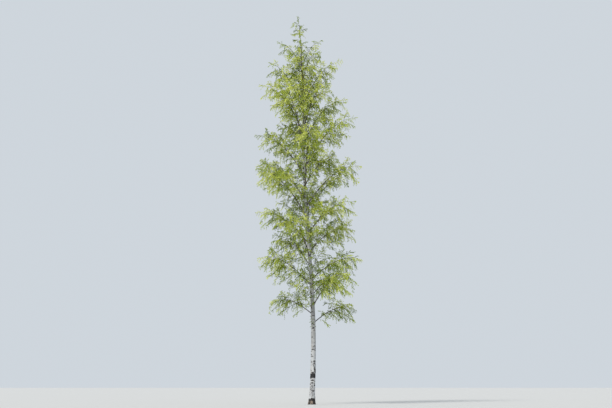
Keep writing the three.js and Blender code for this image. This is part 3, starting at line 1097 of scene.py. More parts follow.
def makeTrunk():
    height, turn, corners, caps = trunkRings()
    at = trunkPlaces(height, turn)
    mark, sunk = laidMarks(at)
    banded, layers = darkBand(at)
    footed, crack, tone, pale = crackedFoot(at)
    face, edge, shade = looseSlab(at)
    # the marks take in the slab's edge and the painted shade behind the slab
    mark = np.maximum(np.maximum(mark, edge), shade)
    dull = smooth(height, *bark["dull"][:2]) * (1 - smooth(height, *bark["dull"][2:]))
    dull = dull * mix(bark["dullLeast"], 1, above(uneven(at, "dull"), 0, 0.2))

    relief = (uneven(at, "swell") + uneven(at, "fineSwell")) * at["radius"] / trunk["radius"] + limbSwells(at)
    plates = foot["rise"] - foot["flakeDepth"] * pale + foot["plateRise"] * (tone - 0.5)
    relief = relief + footed * (plates - foot["crackDepth"] * crack + uneven(at, "footGrain"))
    relief = relief + banded * (band["rise"] - band["crackDepth"] * layers + uneven(at, "bandGrain"))
    least, whole = bark["depthByGirth"]
    relief = relief - bark["markDepth"] * sunk * (least + at["radius"] / whole)
    relief = relief + slab["rise"] * face - slab["edgeDepth"] * edge
    points = at["surface"] + at["spoke"] * relief[:, None]
    points[:, 2] = np.clip(points[:, 2], 0, None)
    points = np.concatenate([points, [stemMiddle(0.0), stemMiddle(trunk["top"])]])

    faces = np.concatenate([corners, caps])
    piece = makePiece("trunk_bark", points, faces, barkMaterial(), ["trunk"])
    fissure = np.where(banded > 0, layers, crack) * np.maximum(footed, banded)
    for name, values in (("mark", mark), ("band", banded), ("foot", footed), ("fissure", fissure),
                         ("pale", pale), ("plate", tone), ("dull", dull)):
        addMarks(piece, name, np.concatenate([values, [0.0, 0.0]]))
    addMarks(piece, "age", np.concatenate([smooth(height, *bark["aged"]), [0.0, 1.0]]))
    unwrapTrunk(piece, height, turn, corners, len(caps))


def unwrapTrunk(piece, height, turn, corners, capFaces):  # strips of the stem side by side
    bounds = np.array([0, *bark["stripTops"], trunk["top"]])
    left, width, bottom, tall = bark["stripPlace"]
    level, order = height[corners], turn[corners]
    order = order + (order.max(axis=1, keepdims=True) - order > 0.5)
    strip = np.searchsorted(bounds[1:-1], level.mean(axis=1), side="right")[:, None]
    across = (strip + left + width * order) / (len(bounds) - 1)
    up = bottom + tall * (level - bounds[strip]) / (bounds[strip + 1] - bounds[strip])
    places = np.stack([across, up], axis=-1).reshape(-1, 2)
    capPlaces = np.tile(bark["capPlaces"], (capFaces, 1))
    layer = piece.data.uv_layers.new(name="OFBake")
    layer.data.foreach_set("uv", np.concatenate([places, capPlaces]).astype(np.float32).ravel())


barkColors = {
    "white": (0.565, 0.58, 0.59),
    "grey": (0.335, 0.345, 0.36),
    "beige": (0.42, 0.365, 0.295),
    "dull": (0.255, 0.255, 0.25),
    "lenticel": (0.15, 0.13, 0.12),
    "topBrown": (0.15, 0.11, 0.085),
    "black": (0.010, 0.010, 0.012),
    "scar": (0.050, 0.043, 0.040),
    "bandDark": (0.011, 0.011, 0.013),
    "bandPale": (0.062, 0.062, 0.066),
    "footDark": (0.016, 0.014, 0.013),
    "footBrown": (0.082, 0.070, 0.062),
    "footGrey": (0.16, 0.155, 0.145),
    "footPale": (0.53, 0.45, 0.37),
    "footTan": (0.27, 0.19, 0.14),
}

barkGrains = {  # stretch, detail and distortion of the noises in the bark's colour
    "rows": ((5, 5, 70), 4),
    "patches": ((2.4, 2.4, 4.2), 5, 0.6),
    "streaks": ((15, 15, 1.1), 4),
    "dashes": ((17, 17, 210), 2),
    "grit": ((48, 48, 75), 3),
    "speckle": ((30, 30, 46), 4),
    "fibres": ((95, 95, 20), 5, 0.4),
    "layers": ((24, 24, 66), 6, 0.5),
}


def barkMaterial():
    tone = barkColors
    material, tree, shader = newMaterial("birch_bark", tone["white"], 0.62, 0.35)
    grain = {name: noiseOf(tree, *settings) for name, settings in barkGrains.items()}
    grit, fibres = grain["grit"], grain["fibres"]
    cracked = attributeOf(tree, "fissure")

    def ragged(name, noise, amount):  # a mark whose edge the noise makes uneven
        centred = calculated(tree, "SUBTRACT", noise, 0.5)
        return added(tree, attributeOf(tree, name), scaled(tree, centred, amount))

    paper = layered(
        tree, tone["white"],
        (tone["grey"], grain["patches"], 0.85, 0.40, 0.66),
        (tone["beige"], grain["streaks"], 0.55, 0.50, 0.74),
        (tone["grey"], grain["rows"], 0.5, 0.5, 0.72),
        (tone["dull"], attributeOf(tree, "dull"), 0.75),
        (tone["lenticel"], grain["dashes"], 0.8, 0.645, 0.70),
        (tone["topBrown"], attributeOf(tree, "age"), 0.9),
    )
    rough = added(tree, scaled(tree, fibres, 0.8), scaled(tree, attributeOf(tree, "plate"), 0.2))
    root = layered(
        tree, tone["footDark"],
        (tone["footBrown"], rough, 1, 0.47, 0.62),
        (tone["footGrey"], grit, 0.7, 0.60, 0.70),
        (layered(tree, tone["footTan"], (tone["footPale"], fibres, 1, 0.42, 0.58)),
         ragged("pale", fibres, 0.8), 1, 0.36, 0.52),
        (tone["black"], cracked, 0.85),
    )
    ring = layered(
        tree, tone["bandDark"],
        (tone["bandPale"], grain["layers"], 1, 0.49, 0.62),
        (tone["footGrey"], grit, 0.8, 0.60, 0.68),
        (tone["black"], cracked, 0.8),
    )
    # marked: the black marks, with the painted shade behind the loose slab
    marked = stepped(tree, ragged("mark", grit, 0.55), 0.44, 0.56)
    color = layered(
        tree, paper,
        (root, ragged("foot", grit, 0.7), 1, 0.4, 0.56),
        (ring, ragged("band", grit, 0.6), 1, 0.38, 0.52),
        (tone["lenticel"], ragged("mark", grain["speckle"], 0.5), 0.5, 0.12, 0.50),
        (layered(tree, tone["black"], (tone["scar"], grain["speckle"], 1, 0.45, 0.72)), marked, 1),
    )
    tree.links.new(color, shader.inputs["Base Color"])
    tree.links.new(added(tree, scaled(tree, marked, 0.25), 0.6), shader.inputs["Roughness"])
    footGrain = scaled(tree, scaled(tree, fibres, 1.6), attributeOf(tree, "foot"))
    bandGrain = scaled(tree, scaled(tree, grain["layers"], 1.8), attributeOf(tree, "band"))
    raised = added(tree, scaled(tree, grain["rows"], 0.5), scaled(tree, grain["speckle"], 0.5))
    bumped(tree, shader, added(tree, raised, added(tree, footGrain, bandGrain)), 0.004, 0.45)
    return material


makeTrunk()


# Curls: thin paper of the bark that has come loose

curl = {
    "count": 90,
    "heights": (0.45, 8.5),
    "crowding": 1.3,
    "clearOfBand": 0.06,
    "length": 0.09,
    "lengths": (0.5, 1.5),
    "width": 0.012,
    "widths": (0.6, 1.7),
    "lift": 0.007,
    "lifts": (0.3, 1.6),
    "liftPower": 2.2,
    "slowing": 0.35,  # of its way round the stem
    "narrowing": 0.55,  # towards its loose end
    "fall": 0.10,
    "sunk": 0.003,
    "thick": 0.0009,
    "steps": np.linspace(0, 1, 7),
    "color": (0.52, 0.48, 0.42),
    "dark": (0.34, 0.29, 0.23),
}


def oneCurl(number):
    height = mix(*curl["heights"], chance(number, 91) ** curl["crowding"])
    if band["low"] - curl["clearOfBand"] < height < band["high"] + curl["clearOfBand"]:
        return None
    steps = curl["steps"]
    angle = fullTurn * chance(number, 92)
    hand = 1 if chance(number, 93) < 0.5 else -1
    length = curl["length"] * within(curl["lengths"], number, 94)
    width = curl["width"] * within(curl["widths"], number, 95)
    lift = curl["lift"] * within(curl["lifts"], number, 96)
    radius = float(stemRadius(height, angle))
    turns = angle + hand * length * steps * (1 - curl["slowing"] * steps**2) / radius
    out = radius - curl["sunk"] + lift * steps ** curl["liftPower"]
    level = height + curl["fall"] * length * scatter(number, 97) * steps
    halfWidth = width * (1 - curl["narrowing"] * steps**2) / 2
    rows = []
    for depth in (0, curl["thick"]):
        for edge in (-1, 1):
            spot = stemMiddle(level)
            spot[:, 0] += (out - depth) * np.cos(turns)
            spot[:, 1] += (out - depth) * np.sin(turns)
            spot[:, 2] += edge * halfWidth
            rows.append(spot)
    points = np.stack(rows, axis=1).reshape(-1, 3)  # four points at each step
    faces = []
    for low in range(0, 4 * (len(steps) - 1), 4):
        for a, b in ((0, 1), (1, 3), (3, 2), (2, 0)):
            faces += [[low + a, low + 4 + a, low + 4 + b], [low + a, low + 4 + b, low + b]]
    last = 4 * (len(steps) - 1)
    faces += [[0, 1, 3], [0, 3, 2], [last, last + 3, last + 1], [last, last + 2, last + 3]]
    return points, np.array(faces)[:, ::hand]


def makeCurls():
    curls = [oneCurl(number) for number in range(curl["count"])]
    points, corners = joined([made for made in curls if made])
    material, tree, shader = newMaterial("loose_bark", curl["color"], 0.7)
    grain = noiseOf(tree, (20, 20, 160), 3)
    color = layered(tree, curl["color"], (curl["dark"], grain, 1, 0.4, 0.65))
    tree.links.new(color, shader.inputs["Base Color"])
    bumped(tree, shader, grain, 0.001, 0.3)
    makePiece("bark_curls", points, corners, material)


makeCurls()


# Limbs: the boughs with their masses' stems, and the leading shoot

limbBark = {
    "sides": 10,
    "stations": np.concatenate([[0], np.linspace(0.004, 0.985, 44), [1]]),
    "uneven": (0.2, 9),  # of the girth, and its grain
    "knots": (0.16, 26, 0.72),  # of the girth, their grain, and how rare they are
    "girths": (0.75, 1.25),
    "grain": (0.0012, 70),
    "papery": (0.018, 0.036),  # radius from which the bark grows pale
    "dark": (0.026, 0.019, 0.016),
    "brown": (0.085, 0.062, 0.050),
    "pale": (0.30, 0.28, 0.26),
    "lenticel": (0.20, 0.165, 0.14),
}


def noiseRound(tree, around, along, detail):  # stretched round the limb, by the distance along it
    place = tree.nodes.new("ShaderNodeTexCoord")
    vectors = "ShaderNodeVectorMath"
    spread = calculated(tree, "MULTIPLY", place.outputs["Object"], (around, around, around), kind=vectors)
    shear = (along, 0.37 * along, 0.73 * along)
    sheared = calculated(tree, "MULTIPLY_ADD", attributeOf(tree, "along"), shear, spread, kind=vectors)
    return noiseAt(tree, sheared, detail)


def limbMaterial():
    material, tree, shader = newMaterial("bough_bark", limbBark["brown"], 0.78, 0.3)
    grain = noiseOf(tree, (34, 34, 40), 5)
    patches = scaled(tree, noiseOf(tree, (8, 8, 8), 5, 0.8), 0.6)
    bands = scaled(tree, noiseRound(tree, 9, 36, 4), 0.4)
    papery = stepped(tree, added(tree, patches, bands), 0.485, 0.535)
    dashed = scaled(tree, stepped(tree, noiseRound(tree, 26, 125, 2), 0.60, 0.66), 0.75)
    color = layered(
        tree, limbBark["dark"],
        (limbBark["brown"], grain, 1, 0.42, 0.64),
        (limbBark["pale"], scaled(tree, papery, attributeOf(tree, "thick")), 1),
        (limbBark["lenticel"], dashed, 1),
    )
    tree.links.new(color, shader.inputs["Base Color"])
    bumped(tree, shader, added(tree, grain, dashed), 0.002, 0.5)
    return material


def makeLimbs():
    shares, sides = limbBark["stations"], limbBark["sides"]
    uneven, unevenGrain = limbBark["uneven"]
    swelling, knotGrain, rareness = limbBark["knots"]
    middles, radii = [], []
    for limb in limbs:
        line = limb["curve"](shares)
        girth = np.asarray(limb["radiusAt"](shares), dtype=float)
        bulge = 1 + uneven * (valueNoise(line, unevenGrain, limb["index"]) - 0.5)
        knotted = valueNoise(line, knotGrain, limb["index"] + 60) > rareness
        bulge = bulge + swelling * knotted
        middles.append(line)
        radii.append(girth * np.clip(bulge, *limbBark["girths"]))
    middles, radii = np.array(middles), np.array(radii)
    points, corners = tubes(middles, radii, np.array([limb["side"] for limb in limbs]), sides)
    amount, grain = limbBark["grain"]
    points = points + amount * (valueNoise(points, grain, 31) - 0.5)[:, None]
    boughs = [f"bough_{number + 1:02d}" for number in range(crown["boughs"])]
    piece = makePiece("boughs", points, corners, limbMaterial(), boughs)

    def atPoints(values):  # a value at each station as one for each point
        inner = np.repeat(values[:, 1:-1], sides, axis=1)
        return np.concatenate([values[:, :1], inner, values[:, -1:]], axis=1).reshape(-1)

    addMarks(piece, "thick", smooth(atPoints(radii), *limbBark["papery"]))
    lengths = np.array([limb["length"] for limb in limbs])
    addMarks(piece, "along", atPoints(lengths[:, None] * shares[None, :]))


makeLimbs()


# Finer growth: more twigs between the main ones, thinner boughs, and fine twigs along all of them

looseTurn = 6.28  # the turn that a stem's first twig may have

leafToneAndLight = {  # what makes a shoot's leaves a lighter green, and how far along the shoot it is read: painted light for shoots further out and higher up, and chance for the leaves' own spread of tone
    "outer": 0.30,
    "height": 0.35,
    "chance": 0.62,
    "place": 0.6,
}


def withToneAndLight(shoot, limb, *keys):
    middle = shoot["curve"](leafToneAndLight["place"])
    stem = stemMiddle(middle[2])
    outer = math.hypot(middle[0] - stem[0], middle[1] - stem[1]) / crown["reach"]
    # painted light: shoots further out and higher up get lighter greens, as if more sun reaches them; the
    # chance part is the leaves' own spread of tone
    shoot["tone"] = leafToneAndLight["outer"] * outer + leafToneAndLight["height"] * (middle[2] / treeHeight)
    shoot["tone"] += leafToneAndLight["chance"] * chance(limb["index"], *keys, 51)
    return shoot


def spacedOut(number, count, *keys):  # a share in the middle half of its part
    return (number + 0.25 + 0.5 * chance(*keys)) / count


def arched(root, outward, length, line):  # a curve by how far out and how high each of its points is
    return bezier([root, *(root + outward * length * out + upward * length * up for out, up in line)])


between = {  # twigs between the main ones
    "count": 1.2,  # for each main one
    "last": 0.97,
    "turn": 1.7,  # in golden angles
    "lean": (38, 64),
    "length": 0.72,  # of a main one
    "scatter": (0.7, 1.25),
}


def twigsBetween(limb, mainTwigs):
    count = round(mainTwigs * between["count"])
    made = []
    for number in range(count):
        along = spacedOut(number, count, limb["index"], number, 61)
        share = mix(limb["massStart"], 1, between["last"] * along)
        turn = number * goldenAngle * between["turn"] + looseTurn * chance(limb["index"], 62)
        lean = math.radians(within(between["lean"], limb["index"], number, 63))
        length = twig["length"] * mix(1, twig["tipShortening"], along) * between["length"]
        length *= mix(twig["smallest"], 1, limb["vigour"])
        length *= within(between["scatter"], limb["index"], number, 64)
        plan = twigPlan(limb, number, share, leaning(limb, share, turn, lean), length)
        for size in twig["tries"]:
            piece = twigWithSpray(limb, plan, size)
            if hasRoom(limb, piece["curve"](room["twigShares"]), room["twigToLimb"]):
                made.append(withToneAndLight(piece, limb, number, 3))
                break
    return made


boughTwig = {  # small twigs on the bare wood
    "count": 4,
    "from": 0.16,
    "lean": math.acos(0.6),
    "length": 0.62,
    "scatter": (0.5, 1.2),
}


def boughTwigs(limb):
    made = []
    for number in range(boughTwig["count"]):
        order = (number + chance(limb["index"], number, 71)) / boughTwig["count"]
        share = mix(boughTwig["from"], limb["massStart"], order)
        turn = number * goldenAngle + looseTurn * chance(limb["index"], 72)
        outward = unit(leaning(limb, share, turn, boughTwig["lean"]))
        length = boughTwig["length"] * within(boughTwig["scatter"], limb["index"], number, 73)
        plan = twigPlan(limb, number, share, outward, length)
        made.append(withToneAndLight(twigWithSpray(limb, plan, 1), limb, number, 4))
    return made


hanging = {  # long thin twigs that hang from the limbs, as a birch's do
    "from": 0.25,
    "beforeMass": 0.1,
    "spacing": 0.34,
    "lean": (25, 80),
    "length": 1.05,
    "scatter": (0.45, 1.25),
    "weakest": 0.45,
    "lowest": 4.55,  # none ends below this
    "fall": 0.72,  # of its length
    "shortest": 0.3,
    "line": [(0.42, 0.06), (0.50, -0.38), (0.54, -0.80)],  # outward and up, of its length
    "bladeFrom": 0.12,
    "scale": 0.5,
}


def hangingTwigs(limb):
    start = max(limb["massStart"] - hanging["beforeMass"], hanging["from"])
    count = int(limb["length"] * (1 - start) / hanging["spacing"])
    made = []
    for number in range(count):
        share = mix(start, 1, (number + chance(limb["index"], number, 81)) / count)
        root = limb["curve"](share)
        hand = 1 if number % 2 else -1
        lean = math.radians(within(hanging["lean"], limb["index"], number, 82)) * hand
        outward = unit(leaning(limb, share, 0, lean))
        length = hanging["length"] * within(hanging["scatter"], limb["index"], number, 83)
        length *= mix(hanging["weakest"], 1, limb["vigour"])
        length = min(length, (root[2] - hanging["lowest"]) / hanging["fall"])
        if length < hanging["shortest"]:
            continue
        side = unit(np.cross(outward, upward))
        roll = math.pi * chance(limb["index"], number, 84)
        curve = arched(root, outward, length, hanging["line"])
        piece = shootOf(curve, side, length, roll, hanging["bladeFrom"], hanging["scale"])
        made.append(withToneAndLight(piece, limb, number, 5))
    return made


knot = {  # the thin twig that rises to the left from the knot on the front
    "height": 4.02,
    # right, back and up from the bark
    "places": [(0.018, 0.02, 0), (0.012, -0.05, 0.10), (-0.06, -0.07, 0.34), (-0.15, -0.10, 0.62)],
    "length": 0.65,
    "roll": 0.3,
    "bladeFrom": 0.45,
    "scale": 0.45,
}


def knotTwig():
    front = stemMiddle(knot["height"]) + [0, -float(stemRadius(knot["height"])), 0]
    curve = bezier([front + place for place in knot["places"]])
    across = np.array([1.0, 0, 0])
    piece = shootOf(curve, across, knot["length"], knot["roll"], knot["bladeFrom"], knot["scale"])
    return withToneAndLight(piece, limbs[0], 9, 9)


sideTwig = {  # the twigs of side boughs and thin limbs
    "jitter": 0.5,
    "lean": (40, 62),
    "tipLength": 0.6,  # of the lowest one's
    "scatter": (0.6, 1.25),
    "vigour": 0.4,
}


def twigsAlong(stem, index, kind):  # all round a side bough or a thin limb, shorter towards its tip
    limb = {"index": index, "vigour": sideTwig["vigour"]}
    low = kind["twigsFrom"]
    count = int(stem["length"] * (1 - low) / kind["twigSpacing"])
    made = []
    for number in range(count):
        share = low + (1 - low) * (number + sideTwig["jitter"] * chance(index, number, 1)) / count
        turn = number * goldenAngle + looseTurn * chance(index, 2)
        lean = math.radians(within(sideTwig["lean"], index, number, 3))
        length = kind["twigLength"] * mix(1, sideTwig["tipLength"], share)
        length *= within(sideTwig["scatter"], index, number, 4)
        plan = twigPlan(stem, number, share, leaning(stem, share, turn, lean), length)
        made.append(withToneAndLight(twigWithSpray(limb, plan, 1), limb, number, 7))
    return made


fork = {  # side boughs, where a vigorous limb forks
    "count": 3,  # of the most vigorous limb
    "vigour": 0.42,  # weaker limbs have none
    "places": (0.24, 0.66),
    "roll": math.radians(35),
    "lean": (32, 46),
    "length": 0.47,  # of the limb's
    "shortening": 0.7,
    "scatter": (0.75, 1.1),
    "line": [(0.38, 0), (0.74, 0.05), (1, -0.12)],
    "probes": np.array([0.35, 0.6, 0.8, 1.0]),
    "bladeFrom": 0.6,
    "scale": 0.75,
    "twigsFrom": 0.2,
    "twigSpacing": 0.19,
    "twigLength": 0.72,
}


def sideBoughs():
    stems, twigs = [], []
    for limb in limbs[:crown["limbs"]]:
        if limb["vigour"] < fork["vigour"]:
            continue
        count = max(1, round(fork["count"] * limb["vigour"]))
        hand = 1 if chance(limb["index"], 91) < 0.5 else -1
        for number in range(count):
            place = spacedOut(number, count, limb["index"], number, 92)
            share = mix(*fork["places"], place)
            roll = fork["roll"] * scatter(limb["index"], number, 93)
            lean = math.radians(within(fork["lean"], limb["index"], number, 94))
            outward = leaning(limb, share, roll if hand > 0 else math.pi - roll, lean)
            length = fork["length"] * limb["length"] * mix(1, fork["shortening"], place)
            length *= within(fork["scatter"], limb["index"], number, 95)
            curve = arched(limb["curve"](share), outward, length, fork["line"])
            hand = -hand
            if not clearOfWood(curve(fork["probes"]), room["twigToLimb"]):
                continue
            index = 300 + 10 * limb["index"] + number  # a key for chance that nothing else has
            side = unit(np.cross(outward, upward))
            stem = shootOf(curve, side, length, math.pi * chance(index, 6), fork["bladeFrom"], fork["scale"])
            stems.append(withToneAndLight(stem, limb, number, 8))
            twigs.extend(twigsAlong(stem, index, fork))
    return stems, twigs


def dressThinLimbs():
    stems, twigs = [], []
    for number, stem in enumerate(thinLimbs):
        index = 200 + number  # a key for chance that nothing else has
        stems.append(withToneAndLight(stem, {"index": index}, number, 6))
        twigs.extend(twigsAlong(stem, index, thin))
    return stems, twigs


def growShoots():
    mains, axes, hangers = [], [], []
    for mass in masses:
        limb = mass["limb"]
        mains += [withToneAndLight(piece, limb, number, 1) for number, piece in enumerate(mass["twigs"])]
        axes += [withToneAndLight(piece, limb, number, 2) for number, piece in enumerate(mass["sprays"])]
        mains += twigsBetween(limb, mass["count"])
        if limb["hasBough"]:
            mains += boughTwigs(limb)
        hangers += hangingTwigs(limb)
    forks, forkTwigs = sideBoughs()
    stems, stemTwigs = dressThinLimbs()
    return mains + forkTwigs + stemTwigs, axes, hangers + [knotTwig()], forks, stems


mains, axes, hangers, forks, stems = growShoots()
shoots = mains + axes + hangers + forks + stems
print("twigs", len(mains), "side sprays", len(axes), "hanging twigs", len(hangers))
print("side boughs", len(forks), "thin limbs", len(stems))


# Twigs: tapering tubes, each group with its own stations, girth and sides

twigTube = {
    "long": np.array([0, 0.015, 0.12, 0.26, 0.4, 0.55, 0.7, 0.85, 1]),
    "middle": np.array([0, 0.03, 0.25, 0.5, 0.75, 1]),
    "hanging": np.array([0, 0.03, 0.16, 0.3, 0.45, 0.62, 0.8, 1]),
    "stem": np.concatenate([[0], np.linspace(0.01, 0.96, 14), [1]]),
    "fine": np.array([0, 0.04, 0.52, 1]),
    "short": np.array([0, 0.06, 1]),
    "longFrom": 0.7,
    "shortTo": 0.15,  # of fine twigs
    "mainGirth": 0.0062,
    "sideGirth": 0.0038,
    "forkGirth": 0.0105,
    "fineSides": 3,
    "fineGirth": 0.0019,
    "fineLength": 0.22,  # of a fine twig with its full girth
    "fineGirths": (0.7, 1.2),
    "tip": 0.0011,
    "color": (0.075, 0.045, 0.034),
    "dark": (0.040, 0.022, 0.017),
    "light": (0.115, 0.070, 0.050),
}


def twigMaterial():
    material, tree, shader = newMaterial("twig_bark", twigTube["color"], 0.6)
    grain = noiseOf(tree, (26, 26, 34), 3)
    color = layered(tree, twigTube["dark"], (twigTube["light"], grain, 1, 0.38, 0.64))
    tree.links.new(color, shader.inputs["Base Color"])
    bumped(tree, shader, grain, 0.001, 0.4)
    return material


def tapering(middles, shares, girths, side, sides):  # from its girth at the root to the tip's
    radii = girths[:, None] * (1 - shares[None, :]) + twigTube["tip"] * shares[None, :]
    radii[:, [0, -1]] = 0
    return tubes(middles, radii, side, sides)


def rootCollars():  # the swollen ring where each thin limb leaves the stem
    middles = []
    for shoot in stems:
        out = tangentOf(shoot["curve"], 0.0)
        surface = float(stemRadius(shoot["curve"](0.0)[2])) / math.hypot(out[0], out[1])
        middles.append(shoot["curve"]((surface + thin["collarPlaces"]) / shoot["length"]))
    radii = np.array([shoot["girth"] for shoot in stems])[:, None] * thin["collarGirths"]
    return tubes(np.array(middles), radii, np.array([shoot["side"] for shoot in stems]), thin["collarSides"])


def makeTwigs():
    parts = [rootCollars()]
    longOnes = [shoot for shoot in mains if shoot["length"] >= twigTube["longFrom"]]
    shortOnes = [shoot for shoot in mains if shoot["length"] < twigTube["longFrom"]]
    for group, stations, thickest, sides in (
        (longOnes, "long", twigTube["mainGirth"], 4),
        (shortOnes, "middle", twigTube["mainGirth"], 4),
        (axes, "middle", twigTube["sideGirth"], 4),
        (hangers, "hanging", twigTube["sideGirth"], 4),
        (forks, "stem", twigTube["forkGirth"], 6),
        (stems, "stem", thin["girth"], 6),
    ):
        shares = twigTube[stations]
        middles = np.array([shoot["curve"](shares) for shoot in group])
        girths = girthOf(thickest, np.array([shoot["length"] for shoot in group]))
        side = np.array([shoot["side"] for shoot in group])
        parts.append(tapering(middles, shares, girths, side, sides))
    points, corners = joined(parts)
    makePiece("twigs", points, corners, twigMaterial())


makeTwigs()


# Fine twigs, which bear most of the leaves

fine = {
    "spacing": 0.064,  # along a twig
    "start": 0.10,  # share of a twig that stays bare
    "sprayStart": 0.06,  # and of a loose spray
    "fewest": 3,
    "jitter": (0.2, 0.8),
    "spread": 50,
    "spreadScatter": 22,
    "outOfPlane": math.radians(62),
    "droop": 0.42,
    "droops": (0.5, 1.3),
    "inBlade": (0.18, 0.92),  # least length in the blade and what its outline adds, of its half width
    "bladeScatter": (0.75, 1.15),
    "bareLength": 0.25,  # before the blade
    "bareFrom": 0.9,  # length of a twig whose bare part has them at full length
    "bareScatter": (0.45, 1.15),
    "shortest": 0.09,
    "hang": 0.30,
    "hangs": (0.4, 1.4),
}

draws = np.random.default_rng(seed)


def levelSide(vectors):  # beside each of them; the tilt gives an upright one a side too
    return unit(np.cross(vectors, upward + 0.01))


def hands(order):  # 1 and -1 by turns
    return np.where(order % 2 == 0, 1.0, -1.0)


def fineTwigs(shoot):  # roots, directions, lengths and tones of one shoot's fine twigs
    length, blade = shoot["length"], shoot["bladeFrom"]
    low = fine["start"] if blade > 0 else fine["sprayStart"]
    count = max(fine["fewest"], int(length * (1 - low) / fine["spacing"]))
    share = low + (1 - low) * (np.arange(count) + draws.uniform(*fine["jitter"], count)) / count
    tangent = tangentOf(shoot["curve"], share)
    side = unit(shoot["side"] - tangent * (tangent @ shoot["side"])[:, None])
    over = np.cross(tangent, side)
    plane = shoot["roll"] + fine["outOfPlane"] * draws.uniform(-1, 1, count)
    across = side * np.cos(plane)[:, None] + over * np.sin(plane)[:, None]
    lean = np.radians(fine["spread"] + fine["spreadScatter"] * draws.uniform(-1, 1, count))
    outward = tangent * np.cos(lean)[:, None] + across * (np.sin(lean) * hands(np.arange(count)))[:, None]
    outward = unit(outward - upward * fine["droop"] * draws.uniform(*fine["droops"], count)[:, None])
    place = np.clip((share - blade) / (1 - blade), 0, 1)
    widest = spray["widestShare"]
    profile = np.where(place < widest, place / widest, (1 - place) / (1 - widest))
    half = spray["width"] / 2 * shoot["scale"] / math.sin(math.radians(spray["spread"]))
    least, more = fine["inBlade"]
    inBlade = half * (least + more * profile) * draws.uniform(*fine["bladeScatter"], count)
    before = fine["bareLength"] * min(1, length / fine["bareFrom"])
    before = before * draws.uniform(*fine["bareScatter"], count)
    span = np.where(share < blade, np.maximum(before, inBlade), inBlade)
    return shoot["curve"](share), outward, np.maximum(span, fine["shortest"]), np.full(count, shoot["tone"])


rows = [fineTwigs(shoot) for shoot in shoots]
fineRoots, fineOut, fineSpan, fineToneAndLight = (np.concatenate(column) for column in zip(*rows))
fineHang = fine["hang"] * draws.uniform(*fine["hangs"], len(fineSpan))
fineMiddles = fineRoots + fineOut * (fineSpan / 2)[:, None]
fineEnds = fineRoots + fineOut * fineSpan[:, None] - upward * (fineHang * fineSpan)[:, None]
print("fine twigs", len(fineSpan), "total length", round(float(fineSpan.sum())), "m")


def onArc(share, root, middle, end):
    return (1 - share) ** 2 * root + 2 * share * (1 - share) * middle + share**2 * end


def makeFineTwigs():
    girths = twigTube["fineGirth"] * np.clip(fineSpan / twigTube["fineLength"], *twigTube["fineGirths"])
    side = levelSide(fineOut)
    short = fineSpan < twigTube["shortTo"]
    parts = []
    for chosen, shares in ((short, twigTube["short"]), (~short, twigTube["fine"])):
        line = [points[chosen][:, None] for points in (fineRoots, fineMiddles, fineEnds)]
        middles = onArc(shares[None, :, None], *line)
        parts.append(tapering(middles, shares, girths[chosen], side[chosen], twigTube["fineSides"]))
    points, corners = joined(parts)
    makePiece("fine_twigs", points, corners, bpy.data.materials["twig_bark"])


makeFineTwigs()


# Leaves: small open birch leaves, folded along the midrib, in greens dealt out by spray, with painted light
# making the outer and higher ones lighter

leaf = {
    "length": 0.048,
    "width": 0.83,  # of its length
    "lengthScatter": 0.24,
    "spacing": 0.0249,  # along a fine twig
    "shootSpacing": 1.3,  # along the shoots themselves, against that
    "fewest": 2,
    "shootFewest": 3,
    "first": 0.10,  # share of a fine twig that has none
    "place": 0.9,  # of each leaf in its part of a fine twig
    "shootPlace": 0.8,
    "aside": 0.55,  # how the leaf points: aside, along its twig, down and anyhow
    "ahead": 0.35,
    "hanging": 0.75,
    "hangs": (0.2, 1.3),
    "wander": 0.34,
    "facing": (0.5, 0.65, 0.55),  # how its upper side turns: aside, up and anyhow
    "fold": 0.13,
    "curl": 0.12,
    "roughness": 0.6,
    "specular": 0.25,
    # from a shaded green to a lit one: partly painted shade and light, partly the leaves' own tones
    "greens": [
        (0.150, 0.212, 0.022),
        (0.250, 0.330, 0.032),
        (0.360, 0.445, 0.048),
        (0.480, 0.560, 0.080),
        (0.630, 0.690, 0.150),
    ],
    "toneLow": 0.34,
    "toneHigh": 0.96,
    "toneScatter": 0.05,
    "outline": np.array([  # across, along, share of the fold
        [0.00, 0.00, 0.0],
        [-0.48, 0.25, 1.0],
        [-0.40, 0.54, 0.8],
        [0.00, 1.00, 0.0],
        [0.40, 0.54, 0.8],
        [0.48, 0.25, 1.0],
    ]),
    "faces": np.array([[0, 3, 2], [0, 2, 1], [0, 4, 3], [0, 5, 4]]),
}


def toEachHand(tangent, order):  # level, to the left and the right of the twig by turns
    return levelSide(tangent) * hands(order)[:, None]


def leafPlaces():
    counts = np.round(fineSpan * (1 - leaf["first"]) / leaf["spacing"])
    counts = np.maximum(leaf["fewest"], counts).astype(int)
    which = np.repeat(np.arange(len(counts)), counts)
    order = np.arange(len(which)) - np.repeat(np.cumsum(counts) - counts, counts)
    share = leaf["first"] + (1 - leaf["first"]) * (order + leaf["place"]) / counts[which]
    share = np.clip(share, 0, 1)[:, None]
    root, middle, end = fineRoots[which], fineMiddles[which], fineEnds[which]
    tangent = unit((1 - share) * (middle - root) + share * (end - middle))
    rows = [(onArc(share, root, middle, end), tangent, toEachHand(tangent, order), fineToneAndLight[which])]
    for shoot in shoots:
        low = shoot["bladeFrom"]
        count = int(shoot["length"] * (1 - low) / (leaf["spacing"] * leaf["shootSpacing"]))
        count = max(leaf["shootFewest"], count)
        order = np.arange(count)
        share = np.clip(low + (1 - low) * (order + leaf["shootPlace"]) / count, 0, 1)
        tangent = tangentOf(shoot["curve"], np.minimum(share, 0.999))  # just short of the tip
        tones = np.full(count, shoot["tone"])
        rows.append((shoot["curve"](share), tangent, toEachHand(tangent, order), tones))
    return (np.concatenate(column) for column in zip(*rows))


